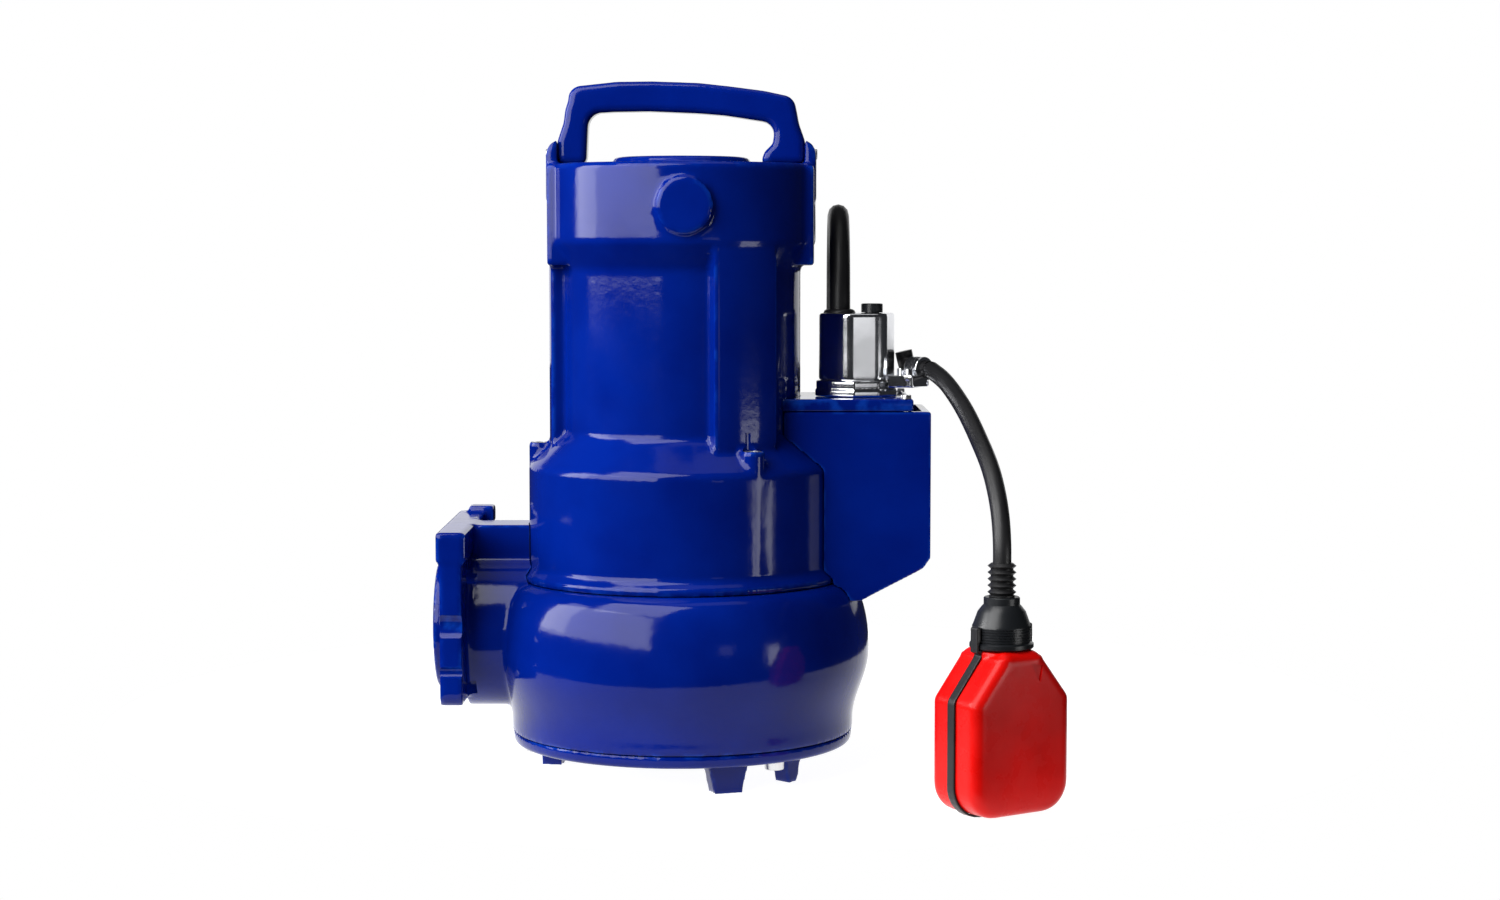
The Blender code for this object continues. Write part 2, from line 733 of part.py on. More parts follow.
EXIT = Vector((0.62, -0.785, 0.0))  # the way the float cable leaves the clamp


def cable_clamp():
    outline = [(141, -20), (159, -21), (171, -8), (163, 12), (150, 15), (141, 12)]
    low, high = 267.0, 275.5
    clamp = plate("cable_clamp", [outline], low, high, "Z", "chrome")
    sleeve = cylinder("clamp_sleeve", 8.6, (0, 0, 0), 13, "Z", sides=20)
    aim = EXIT.to_track_quat("Z", "Y")
    sleeve.rotation_mode = "QUATERNION"
    sleeve.rotation_quaternion = aim
    sleeve.location = (CLAMP_POINT - EXIT * 7) * MM
    bore = cylinder("clamp_bore", FLOAT_CABLE_R + FIT, (0, 0, 0), 60, "Z", sides=20)
    bore.rotation_mode = "QUATERNION"
    bore.rotation_quaternion = aim
    bore.location = (CLAMP_POINT - EXIT * 7) * MM
    join(clamp, sleeve)
    cut(clamp, bore)
    cut(clamp, cylinder("gland_clearance", GLAND_R + FIT, (GLAND_X, 0, 280), 60, sides=28))
    cut(clamp, cylinder("gland_base_clearance", 29.4, (GLAND_X, 0, 262), 20.8, sides=28))
    for number, (x, y) in enumerate(((151.5, -9.0), (156.0, -16.5)), 1):
        cut(clamp, cylinder(f"clamp_thread_{number}", 1.8, (x, y, high), 12, sides=8))
        screw_piece(f"clamp_screw_{number}", (x, y, high + FIT), 1.5, 5, 3.0, 4)
    tail = [CLAMP_POINT - EXIT * back for back in (1, 8, 15)]
    tail += [(156, 9, 284), (154, 9.5, 291)]
    tube("float_cable_tail", smooth_path(tail, 5), FLOAT_CABLE_R - 0.2, "rubber")


def power_cable():
    route = [
        (CABLE_X, 0, 309.6),
        (CABLE_X, 0, 323),
        (109.3, 8.3, 354),
        (109.8, 31, 376.7),
        (110.3, 62, 385),
        (110.8, 93, 376.7),
        (111.2, 115.7, 354),
        (111.5, 124, 323),
        (111, 126, 280),
        (110, 129, 220),
        (107.5, 131, 150),
        (105, 133, 110),
        (103, 135, 72.5),
        (101.5, 143.7, 40),
        (100.5, 167.5, 16.2),
        (100, 196, 8),
    ]
    tube("power_cable", smooth_path(route, 17), POWER_CABLE_R, "rubber", sides=3)
    inner, outer = COIL_MEAN_R - COIL_HALF_WIDTH, COIL_MEAN_R + COIL_HALF_WIDTH
    edge = 5
    profile = [
        (outer - edge, COIL_HEIGHT),
        (outer, COIL_HEIGHT - edge),
        (outer, edge),
        (outer - edge, 0),
        (inner + edge, 0),
        (inner, edge),
        (inner, COIL_HEIGHT - edge),
        (inner + edge, COIL_HEIGHT),
    ]
    turned("power_cable_coil", profile, "rubber", steps=28, centre=COIL_CENTRE, closed=True)


def mains_plug():
    """A round two-pin plug lying on the coil, with its tapered relief towards +X."""
    radius = 18.0
    middle = Vector((COIL_CENTRE.x, COIL_CENTRE.y + COIL_MEAN_R, COIL_HEIGHT + FIT + radius))
    plug = cylinder("mains_plug", radius, middle - Vector((12, 0, 0)), 36, "X", "black_plastic", sides=24)
    relief = cylinder("plug_relief", 11, middle + Vector((22, 0, 0)), 34, "X", sides=16, end_radius=9)
    join(plug, relief)
    for number, y in enumerate((-9.5, 9.5), 1):
        join(plug, cylinder(f"plug_pin_{number}", 2.4, middle + Vector((-38, y, 0)), 20, "X", sides=10))


# --- Float switch -------------------------------------------------------------------------------


def float_outline(grow=0.0):
    """The float's front view: round bottom corners, sloping shoulders and a short neck."""
    half = FLOAT_WIDTH / 2 + grow
    corner = 20.0 + grow
    low = 1.6 - grow
    right = [
        *half_turn((half - corner, low + corner), corner, 270, 360),
        (half, 72),
        (half - 2.5, 79 + grow * 0.4),
        (18.5 + grow, 102 + grow * 0.4),
        (17.5 + grow, FLOAT_HEIGHT),
    ]
    return [(-x, z) for x, z in reversed(right)] + right


def float_switch():
    """Cable and float swing together about the clamp's mouth."""
    pivot_place = CLAMP_POINT + EXIT * (FLOAT_CABLE_R + FIT)
    pivot = empty("float_pivot", PUMP, pivot_place)
    frame = empty("float_frame", pivot, FLOAT_FOOT - pivot_place)
    frame.rotation_euler.z = math.radians(FLOAT_TURN)

    neck = FLOAT_FOOT + Vector((0, 0, 118))
    route = [
        pivot_place,
        (178.5, -31, 273.5),
        (187, -58, 261.5),
        (197, -98, 239),
        (204.5, -130, 215),
        (207.6, -150.5, 191),
        (208, -159.2, 174),
        (FLOAT_FOOT.x, FLOAT_FOOT.y, 158),
        neck,
    ]
    path = smooth_path(route, 14)
    start = EXIT * FLOAT_CABLE_R
    round_end = [(pivot_place - start * math.cos(a), max(math.sin(a), 0.12)) for a in (0.06, 0.5, 1.0)]
    points = [p for p, _ in round_end] + path
    radii = [r for _, r in round_end] + [1.0] * len(path)
    tube("float_cable", [p - pivot_place for p in points], FLOAT_CABLE_R, "rubber", pivot, 2, radii)

    profile = []
    for i in range(5):
        top = 161.5 - 4.2 * i
        profile += [(7.6, top), (9.0, top - 1.8), (7.6, top - 3.6)]
    profile += [(8.4, 140.3), (6.6, 140.3), (6.6, 161.5)]
    turned("float_bend_relief", profile, "rubber", frame, steps=14, closed=True)
    profile = [
        (11.5, 140),
        (11.5, 134),
        (15.5, 130),
        (18.8, 122),
        (18.8, 111),
        (20.5, 110),
        (20.5, FLOAT_HEIGHT + FIT),
        (6.5, FLOAT_HEIGHT + FIT),
        (6.5, 140),
    ]
    turned("float_cap", profile, "black_plastic", frame, steps=24, closed=True)

    half = FLOAT_DEPTH / 2
    for name, side in (("front", -1), ("back", 1)):
        shell = plate(f"float_shell_{name}", [float_outline()], -half, half, "Y", "red_plastic", frame)
        bevel(shell, 8, 2, 60)
        ends = sorted((-side * half * 2, side * 0.15))
        cut(shell, box(f"float_half_{name}", (-60, ends[0], -20), (60, ends[1], 130), parent=frame))
        hollow = plate(f"float_hollow_{name}", [float_outline(-3)], -half + 3, half - 3, "Y", parent=frame)
        cut(shell, hollow)
    hook = [
        (22.8, 106),
        (22.8, 112),
        (22.4, 122),
        (19.2, 122),
        (19.2, 112.5),
        (21.2, 111),
        (21.2, FLOAT_HEIGHT),
    ]
    left_hook = [(-x, z) for x, z in reversed(hook)]
    band = [*float_outline(1.6)[1:-1], *hook, *reversed(float_outline(FIT)), *left_hook]
    plate("float_band", [band], -3.5, 3.5, "Y", "rubber", frame)
    profile = [(0, 10.7), (7.6, 10.7), (7.6, 62), (9, 62), (9, 8), (0, 8)]
    turned("switch_tube", profile, "white_plastic", frame, steps=16)
    box("micro_switch", (-10, -6, 64), (10, 6, 82), "black_plastic", frame)
    ball = bmesh.new()
    place = Matrix.Translation((0, 0, 18))
    bmesh.ops.create_uvsphere(ball, u_segments=12, v_segments=8, radius=7, matrix=place)
    piece("float_ball", mesh_from(ball, "float_ball"), "bearing_steel", frame)


CORDS = ("power_cable", "power_cable_coil", "mains_plug", "float_cable")


def stand_on_origin():
    """Puts the middle of the base of everything but the cords at the world's origin."""
    graph = bpy.context.evaluated_depsgraph_get()
    corners = []
    for node in PARTS.objects:
        if node.type == "MESH" and node.name not in CORDS:
            seen = node.evaluated_get(graph)
            corners += [seen.matrix_world @ vertex.co for vertex in seen.data.vertices]
    middle = [(min(c[i] for c in corners) + max(c[i] for c in corners)) / 2 for i in range(2)]
    PUMP.location = (-middle[0], -middle[1], 0)


motor_housing()
carrying_handle()
volute_casing()
suction_cover()
tie_bolts()
cable_box()
stator()
shaft_supports()
rotor()
cable_gland()
cable_clamp()
power_cable()
mains_plug()
float_switch()
stand_on_origin()
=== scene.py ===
import json
import math

import bmesh
import bpy
from mathutils import Matrix, Vector


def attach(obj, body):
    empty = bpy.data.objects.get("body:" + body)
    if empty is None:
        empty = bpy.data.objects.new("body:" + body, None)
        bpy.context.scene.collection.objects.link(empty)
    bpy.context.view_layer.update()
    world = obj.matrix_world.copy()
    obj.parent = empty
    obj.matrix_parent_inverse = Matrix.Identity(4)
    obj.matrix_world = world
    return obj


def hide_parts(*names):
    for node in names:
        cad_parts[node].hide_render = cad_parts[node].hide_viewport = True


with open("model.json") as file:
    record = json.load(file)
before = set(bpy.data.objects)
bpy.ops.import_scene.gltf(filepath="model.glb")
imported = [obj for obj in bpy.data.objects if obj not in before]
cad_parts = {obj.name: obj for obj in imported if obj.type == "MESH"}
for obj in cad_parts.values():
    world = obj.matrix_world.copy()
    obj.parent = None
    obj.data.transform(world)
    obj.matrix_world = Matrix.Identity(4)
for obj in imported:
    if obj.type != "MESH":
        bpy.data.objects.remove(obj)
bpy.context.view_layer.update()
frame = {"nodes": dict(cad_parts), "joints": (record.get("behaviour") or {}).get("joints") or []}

# Sizes are in millimetres in the pump's own frame: the shaft's axis is x = y = 0, the floor is z = 0,
# the discharge flange looks along -X and the cable box stands on the +X side. AXIS is where the shaft
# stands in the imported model.

MM = 0.001
AXIS = Vector((*frame["joints"][0]["pos_m"][:2], 0))
TO_WORLD = Matrix.Translation(AXIS) @ Matrix.Scale(MM, 4)

SEAM_Z = 29.5  # suction cover to volute
JOINT_Z = 134.0  # volute to motor housing
SHOULDER_Z = 230.0
COLLAR_Z = 366.5
TOP_Z = 420.0
BODY_R = 82.0
COLLAR_R = 92.4
LOWER_R = 106.0
VOLUTE_R = 130.0
RIM_R = 118.5
FLOOR_GAP = 20.5
RIB_ANGLES = (180.0, 300.0, 60.0)
TIE_R = 98.2
TIE_SEAT_Z = 220.0
TIE_BOSS_Z = 229.0
OUTLET_Z = 102.0
FLANGE_BACK_X = -146.0
FLANGE_FACE_X = -161.0
FLANGE_HALF_WIDTH = 78.0
FLANGE_LOW_Z = 55.0
FLANGE_TOP_Z = 173.0
INLET_R = 32.5
FOOT_ANGLES = (-70.5, 49.5, 169.5)
LUG_ANGLES = (-42.0, 138.0)
SCREW_ANGLES = (-52.0, 68.0, 188.0)
HANDLE_TOP_Z = 476.5
BOX_RIGHT_X = 170.0
BOX_TOP_Z = 252.0
BOX_HALF_DEPTH = 45.0
LID_TOP_Z = 260.5
GLAND_X = 121.0
GLAND_R = 25.5
GLAND_TOP_Z = 318.0
CABLE_X = 109.0
EXIT = Vector((0.62, -0.785, 0.0))  # the way the float cable leaves the clamp
CLAMP_POINT = Vector((168.0, -10.0, 279.3))
FLOAT_FOOT = Vector((208.0, -160.0, 1.2))
FLOAT_TURN = 34.0
FLOAT_WIDTH = 79.0
FLOAT_HEIGHT = 107.0
FLOAT_DEPTH = 47.0
FLOAT_CABLE_R = 6.0
TO_FLOAT = TO_WORLD @ Matrix.Translation(FLOAT_FOOT) @ Matrix.Rotation(math.radians(FLOAT_TURN), 4, "Z")

POWER_CABLE_R = 7.5
COIL_CENTRE = Vector((10.0, 285.0))
COIL_MEAN_R = 90.0
COIL_SLOTS = (66.5, 82.2, 97.8, 113.5)
COIL_LAYER = 15.25
COIL_HEIGHT = 76.0

GAP = 0.3  # between neighbours
BOSS_PLACE = (4, -88, 391)
BOSS_R = 19.0
EAR_HALF_WIDTH = 17.0
EAR_INNER_X = 85.3
RIB_R = 91.6
RIB_HALF_ANGLE = 15.0
CAP_SCREW_BORE_R = 3.8
HANDLE_HALF_DEPTH = 13.0
HANDLE_SCREW_Z = TOP_Z + 7
PLUG_X = 131.5
CLAMP_SCREWS = ((151.5, -9.0), (156.0, -16.5))

CAMERA_LENS = 65.83
CAMERA_FROM_AXIS = Vector((0.0471, -1.9, 0.370))
CAMERA_DOWN = 4.434
FLOOR_R = 0.49
FLOOR_BACK = 0.26
LIGHTS = (  # name, place, what it looks at, width and height, all in metres, and power in watts
    ("window_light", (-1.39, -0.80, 0.965), (0, 0.05, 0.965), (2.7, 1.27), 82),
    ("roof_light", (-0.75, -0.85, 1.85), (0, 0, 0.1), (1.5, 1.2), 40),
    ("top_light", (0.2, 0.1, 2.6), (0, 0, 0), (1.4, 1.4), 4),
    ("window_pane", (-1.41, -0.11, 0.93), (-0.04, 0.035, 0.93), (0.5, 1.2), 9),
    ("side_card", (0.80, -0.46, 0.10), (0.16, -0.12, 0.08), (0.30, 0.18), 1.2),
    ("front_card", (0.65, -1.35, 0.24), (0.08, 0.03, 0.29), (0.25, 0.16), 0.13),
    ("back_card", (0, 1.7, 0.55), (0, 0, 0.45), (3.2, 0.7), 7.0),
)


# --- Camera, light and floor --------------------------------------------------------------------


def camera():
    data = bpy.data.cameras.new("view_camera")
    data.lens = CAMERA_LENS
    data.sensor_width = 36.0
    node = bpy.data.objects.new("view_camera", data)
    node.location = AXIS + CAMERA_FROM_AXIS
    node.rotation_euler = (math.radians(90 - CAMERA_DOWN), 0, 0)
    bpy.context.scene.collection.objects.link(node)
    bpy.context.scene.camera = node


def softbox(name, place, aim, size, power):
    data = bpy.data.lights.new(name, "AREA")
    data.shape = "RECTANGLE"
    data.size, data.size_y = size
    data.energy = power
    node = bpy.data.objects.new(name, data)
    node.location = place
    node.rotation_euler = (Vector(aim) - Vector(place)).to_track_quat("-Z", "Y").to_euler()
    bpy.context.scene.collection.objects.link(node)


def backdrop():
    """A white background for the camera, and a dim grey one for everything else."""
    world = bpy.data.worlds.new("studio")
    world.use_nodes = True
    nodes, links = world.node_tree.nodes, world.node_tree.links
    nodes["Background"].inputs["Color"].default_value = (0.022, 0.023, 0.026, 1)
    seen = nodes.new("ShaderNodeBackground")
    seen.inputs["Color"].default_value = (1, 1, 1, 1)
    path = nodes.new("ShaderNodeLightPath")
    mix = nodes.new("ShaderNodeMixShader")
    links.new(path.outputs["Is Camera Ray"], mix.inputs["Fac"])
    links.new(nodes["Background"].outputs["Background"], mix.inputs[1])
    links.new(seen.outputs["Background"], mix.inputs[2])
    links.new(mix.outputs["Shader"], nodes["World Output"].inputs["Surface"])
    bpy.context.scene.world = world
    bpy.context.scene.view_settings.view_transform = "Standard"


def floor():
    shape = bmesh.new()
    bmesh.ops.create_circle(shape, cap_ends=True, segments=96, radius=FLOOR_R)
    bmesh.ops.translate(shape, verts=shape.verts, vec=(0, FLOOR_BACK, 0))
    mesh = bpy.data.meshes.new("floor")
    shape.to_mesh(mesh)
    shape.free()
    mesh.materials.append(FINISH["floor"])
    node = bpy.data.objects.new("floor", mesh)
    bpy.context.scene.collection.objects.link(node)


def studio():
    camera()
    for light in LIGHTS:
        softbox(*light)
    backdrop()
    floor()


# --- Materials ----------------------------------------------------------------------------------


def finish(
    name, colours, roughness, metallic=0.0, grain=(300, 0.1), patch=12, wave=None, wear_and_highlight=None, **sockets
):
    """A surface with patches of two colours and of two roughnesses, a fine grain in relief, and where
    asked a banded pattern (wave: bands per metre, axis, depth) and a lighter colour along sharp edges,
    part paint wear and part painted highlight."""
    material = bpy.data.materials.new(name)
    material.use_nodes = True
    nodes, links = material.node_tree.nodes, material.node_tree.links
    shader = nodes["Principled BSDF"]
    shader.inputs["Metallic"].default_value = metallic
    for socket, value in sockets.items():
        shader.inputs[socket.replace("_", " ").title().replace("Ior", "IOR")].default_value = value
    place = nodes.new("ShaderNodeTexCoord").outputs["Object"]

    def noise(scale, detail):
        node = nodes.new("ShaderNodeTexNoise")
        node.inputs["Scale"].default_value = scale
        node.inputs["Detail"].default_value = detail
        links.new(place, node.inputs["Vector"])
        return node.outputs["Fac"]

    def ramp(source, low, high, start=0.35, end=0.65):
        node = nodes.new("ShaderNodeValToRGB")
        node.color_ramp.elements[0].position = start
        node.color_ramp.elements[1].position = end
        node.color_ramp.elements[0].color = (*low, 1) if len(low) == 3 else low
        node.color_ramp.elements[1].color = (*high, 1) if len(high) == 3 else high
        links.new(source, node.inputs["Fac"])
        return node.outputs["Color"]

    colour = ramp(noise(patch, 4), *colours)
    relief = noise(grain[0], 3)
    if wave:
        bands = nodes.new("ShaderNodeTexWave")
        bands.bands_direction = wave[1]
        bands.inputs["Scale"].default_value = wave[0]
        bands.inputs["Distortion"].default_value = 0.3
        links.new(place, bands.inputs["Vector"])
        relief = bands.outputs["Fac"]
        dark = nodes.new("ShaderNodeMix")
        dark.data_type = "RGBA"
        dark.blend_type = "MULTIPLY"
        dark.inputs["Factor"].default_value = wave[2]
        links.new(colour, dark.inputs["A"])
        links.new(ramp(relief, (0.3, 0.3, 0.3), (1, 1, 1), 0.1, 0.5), dark.inputs["B"])
        colour = dark.outputs["Result"]
    # Lighter colour on sharp edges (pointiness): part paint wear, part painted highlight standing in for
    # the bright edge lines.
    if wear_and_highlight:
        pointiness = nodes.new("ShaderNodeNewGeometry").outputs["Pointiness"]
        edge = ramp(pointiness, (0, 0, 0), (1, 1, 1), 0.515, 0.56)
        mix = nodes.new("ShaderNodeMix")
        mix.data_type = "RGBA"
        mix.inputs["B"].default_value = (*wear_and_highlight, 1)
        broken = nodes.new("ShaderNodeMath")
        broken.operation = "MULTIPLY"
        links.new(edge, broken.inputs[0])
        links.new(ramp(noise(90, 3), (0, 0, 0), (0.8, 0.8, 0.8), 0.45, 0.6), broken.inputs[1])
        links.new(broken.outputs["Value"], mix.inputs["Factor"])
        links.new(colour, mix.inputs["A"])
        colour = mix.outputs["Result"]
    links.new(colour, shader.inputs["Base Color"])
    low, high = ((r, r, r) for r in roughness)
    links.new(ramp(noise(patch * 2.5, 5), low, high, 0.3, 0.7), shader.inputs["Roughness"])
    bump = nodes.new("ShaderNodeBump")
    bump.inputs["Strength"].default_value = grain[1]
    bump.inputs["Distance"].default_value = 0.001
    links.new(relief, bump.inputs["Height"])
    links.new(bump.outputs["Normal"], shader.inputs["Normal"])
    return material


FINISH = {
    "floor": finish(
        "floor_surface", ((0.28, 0.28, 0.28), (0.30, 0.30, 0.30)), (0.85, 0.95), grain=(40, 0.02),
        emission_color=(1, 1, 1, 1), emission_strength=0.97, specular_ior_level=0.0,
    ),
    "blue_paint": finish(
        "cast_blue_paint", ((0.0001, 0.0055, 0.110), (0.0002, 0.0090, 0.150)), (0.07, 0.14),
        # edge colour: a lighter blue on sharp edges, part paint wear and part painted highlight
        grain=(160, 0.07), patch=14, wear_and_highlight=(0.002, 0.03, 0.26), specular_ior_level=0.18,
    ),
    "bare_iron": finish(
        "machined_iron", ((0.16, 0.16, 0.17), (0.26, 0.26, 0.27)), (0.4, 0.6), 0.8, (500, 0.2)
    ),
    "chrome": finish(
        "chrome_plate", ((0.78, 0.79, 0.82), (0.86, 0.87, 0.90)), (0.09, 0.18), 1.0, (120, 0.02)
    ),
    "stainless": finish(
        "stainless_steel", ((0.55, 0.55, 0.56), (0.66, 0.66, 0.67)), (0.24, 0.36), 1.0, (700, 0.05)
    ),
    "core_steel": finish(
        "sheet_stack", ((0.26, 0.27, 0.29), (0.34, 0.35, 0.37)), (0.4, 0.5), 0.9,
        (500, 0.3), wave=(160, "Z", 0.6),
    ),
    "copper": finish(
        "copper_winding", ((0.55, 0.20, 0.09), (0.70, 0.30, 0.14)), (0.35, 0.48), 0.9,
        (500, 0.5), wave=(260, "X", 0.7),
    ),
    "bearing_steel": finish(
        "bearing_steel_surface", ((0.66, 0.67, 0.69), (0.74, 0.75, 0.77)), (0.14, 0.24), 1.0, (900, 0.03)
    ),
    "carbon": finish(
        "carbon_face", ((0.035, 0.035, 0.037), (0.06, 0.06, 0.06)), (0.4, 0.55), 0.0, (1200, 0.1)
    ),
    "rubber": finish(
        "black_rubber", ((0.006, 0.006, 0.007), (0.011, 0.011, 0.012)), (0.34, 0.48), 0.0,
        (900, 0.12), specular_ior_level=0.3,
    ),
    "black_plastic": finish(
        "black_moulding", ((0.005, 0.006, 0.007), (0.010, 0.011, 0.013)), (0.26, 0.38), 0.0,
        (1100, 0.08), specular_ior_level=0.3,
    ),
    "red_plastic": finish(
        "red_moulding", ((0.46, 0.002, 0.001), (0.56, 0.004, 0.003)), (0.24, 0.34), 0.0,
        (800, 0.05), patch=25, specular_ior_level=0.15,
    ),
    "white_plastic": finish(
        "white_moulding", ((0.70, 0.70, 0.66), (0.80, 0.80, 0.77)), (0.4, 0.5), 0.0, (800, 0.06)
    ),
}


# --- Shapes, in the pump's frame ----------------------------------------------------------------

AXES = {
    "Z": Matrix.Identity(4),
    "X": Matrix(((0, 0, 1, 0), (1, 0, 0, 0), (0, 1, 0, 0), (0, 0, 0, 1))),
    "Y": Matrix(((1, 0, 0, 0), (0, 0, -1, 0), (0, 1, 0, 0), (0, 0, 0, 1))),
}
ROUND = 144


def turned_z(degrees):
    return Matrix.Rotation(math.radians(degrees), 4, "Z")


def aimed(place, direction):
    return Matrix.Translation(place) @ Vector(direction).to_track_quat("Z", "Y").to_matrix().to_4x4()


def polar(radius, degrees, z=0.0):
    angle = math.radians(degrees)
    return Vector((radius * math.cos(angle), radius * math.sin(angle), z))


def arc(centre, radius, start, end, steps=8):
    angles = [math.radians(start + (end - start) * i / steps) for i in range(steps + 1)]
    return [(centre[0] + radius * math.cos(a), centre[1] + radius * math.sin(a)) for a in angles]


def turned(shape, profile, place=Matrix.Identity(4), steps=ROUND, closed=False):
    """Adds a profile of (radius, z) points turned about Z."""
    part = bmesh.new()
    points = [part.verts.new((r, 0, z)) for r, z in profile]
    for a, b in zip(points, points[1:]):
        part.edges.new((a, b))
    if closed:
        part.edges.new((points[-1], points[0]))
    bmesh.ops.spin(part, geom=part.verts[:] + part.edges[:], cent=(0, 0, 0), axis=(0, 0, 1),
                   angle=2 * math.pi, steps=steps, use_merge=True)
    bmesh.ops.remove_doubles(part, verts=part.verts, dist=0.0005)
    add(shape, part, place)


def add(shape, part, place=Matrix.Identity(4)):
    bmesh.ops.recalc_face_normals(part, faces=part.faces)
    part.transform(place)
    mesh = bpy.data.meshes.new("part")
    part.to_mesh(mesh)
    part.free()
    shape.from_mesh(mesh)
    bpy.data.meshes.remove(mesh)


def cylinder(shape, radius, centre, length, axis="Z", sides=64, end_radius=None, place=Matrix.Identity(4)):
    part = bmesh.new()
    end = radius if end_radius is None else end_radius
    bmesh.ops.create_cone(part, cap_ends=True, segments=sides, radius1=radius, radius2=end, depth=length)
    add(shape, part, place @ Matrix.Translation(centre) @ AXES[axis])


def box(shape, low, high, place=Matrix.Identity(4), round_edge=0.0):
    low, high = Vector(low), Vector(high)
    stretch = Matrix.Translation((low + high) / 2) @ Matrix.Diagonal((*(high - low), 1))
    part = bmesh.new()
    bmesh.ops.create_cube(part, size=1, matrix=stretch)
    if round_edge:
        edges = part.edges[:]
        bmesh.ops.bevel(part, geom=edges, offset=round_edge, segments=3, profile=0.5, affect="EDGES")
    add(shape, part, place)


def plate(shape, outlines, low, high, axis="Z", place=Matrix.Identity(4), round_edge=0.0, segments=3):
    """Adds flat outlines, the later ones holes in the first, pushed along an axis from low to high.
    An outline's points are (x, y) for axis Z, (y, z) for axis X and (x, z) for axis Y."""
    curve = bpy.data.curves.new("outline", "CURVE")
    curve.dimensions = "2D"
    curve.fill_mode = "BOTH"
    curve.extrude = (high - low) / 2
    for outline in outlines:
        spline = curve.splines.new("POLY")
        spline.points.add(len(outline) - 1)
        spline.use_cyclic_u = True
        for point, (u, v) in zip(spline.points, outline):
            point.co = (u, v, 0, 1)
    guide = bpy.data.objects.new("outline", curve)
    bpy.context.scene.collection.objects.link(guide)
    flat = bpy.data.meshes.new_from_object(guide.evaluated_get(bpy.context.evaluated_depsgraph_get()))
    bpy.data.objects.remove(guide, do_unlink=True)
    part = bmesh.new()
    part.from_mesh(flat)
    bpy.data.meshes.remove(flat)
    bmesh.ops.remove_doubles(part, verts=part.verts, dist=0.001)
    bmesh.ops.dissolve_limit(part, angle_limit=0.01, verts=part.verts, edges=part.edges)
    bmesh.ops.recalc_face_normals(part, faces=part.faces)
    if round_edge:
        rims = [e for e in part.edges if len(e.link_faces) == 2 and e.calc_face_angle() > math.radians(50)]
        bmesh.ops.bevel(
            part, geom=rims, offset=round_edge, segments=segments, profile=0.5, affect="EDGES"
        )
    push = {"X": (1, 0, 0), "Y": (0, 1, 0), "Z": (0, 0, 1)}[axis]
    add(shape, part, place @ Matrix.Translation(Vector(push) * (low + high) / 2) @ AXES[axis])


def piece(name, shape, finish_name, replaces=(), body="pump", to_world=TO_WORLD, sharp=35):
    """Makes the shape an object that rides a body, and stands for the nodes it replaces."""
    shape.transform(to_world)
    mesh = bpy.data.meshes.new(name)
    shape.to_mesh(mesh)
    shape.free()
    mesh.materials.append(FINISH[finish_name])
    mesh.shade_smooth()
    if sharp:
        mesh.set_sharp_from_angle(angle=math.radians(sharp))
    node = bpy.data.objects.new(name, mesh)
    bpy.context.scene.collection.objects.link(node)
    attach(node, body)
    if replaces:
        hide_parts(*replaces)
    return node


def evaluated(mesh_shape, prepare):
    """A copy of a shape after the modifiers that prepare adds."""
    mesh = bpy.data.meshes.new("work")
    mesh_shape.to_mesh(mesh)
    mesh_shape.free()
    node = bpy.data.objects.new("work", mesh)
    bpy.context.scene.collection.objects.link(node)
    extra = prepare(node) or []
    made = bpy.data.meshes.new_from_object(node.evaluated_get(bpy.context.evaluated_depsgraph_get()))
    for old in (node, *extra):
        data = old.data
        bpy.data.objects.remove(old, do_unlink=True)
        bpy.data.meshes.remove(data)
    result = bmesh.new()
    result.from_mesh(made)
    bpy.data.meshes.remove(made)
    return result


def cast(shape, voxel=1.75, rounds=2):
    """One skin over overlapping shapes, with the soft inner and outer corners of a casting."""

    def prepare(node):
        remesh = node.modifiers.new("skin", "REMESH")
        remesh.mode = "VOXEL"
        remesh.voxel_size = voxel
        smooth = node.modifiers.new("fillets", "SMOOTH")
        smooth.factor = 0.5
        smooth.iterations = rounds

    return evaluated(shape, prepare)


def cut(shape, tool):
    """The shape less the tool, both closed, with a machined edge."""

    def prepare(node):
        mesh = bpy.data.meshes.new("tool")
        tool.to_mesh(mesh)
        tool.free()
        other = bpy.data.objects.new("tool", mesh)
        bpy.context.scene.collection.objects.link(other)
        other.hide_render = True
        boolean = node.modifiers.new("cut", "BOOLEAN")
        boolean.operation = "DIFFERENCE"
        boolean.object = other
        return [other]

    return evaluated(shape, prepare)


# --- Cords --------------------------------------------------------------------------------------


def smooth_curve(name, route, radius, material, sides=4, steps=6):
    """A tube on a curve that passes through every point of its route, in the pump's frame."""
    curve = bpy.data.curves.new(name, "CURVE")
    curve.dimensions = "3D"
    curve.bevel_depth = radius * MM
    curve.bevel_resolution = sides
    curve.resolution_u = steps
    curve.use_fill_caps = True
    places = [TO_WORLD @ Vector(p) for p in route]
    ends = [places[0] * 2 - places[1], *places, places[-1] * 2 - places[-2]]
    spline = curve.splines.new("BEZIER")
    spline.bezier_points.add(len(places) - 1)
    for point, before, place, after in zip(spline.bezier_points, ends, places, ends[2:]):
        back, ahead = (place - before).length, (after - place).length
        slope = ((place - before) * (ahead / back) + (after - place) * (back / ahead)) / (back + ahead)
        point.co = place
        point.handle_left = place - slope * (back / 3)
        point.handle_right = place + slope * (ahead / 3)
    curve.materials.append(FINISH[material])
    node = bpy.data.objects.new(name, curve)
    bpy.context.scene.collection.objects.link(node)
    return node


def ease(x):
    x = min(max(x, 0.0), 1.0)
    return 2 * x * x if x < 0.5 else 1 - 2 * (1 - x) ** 2


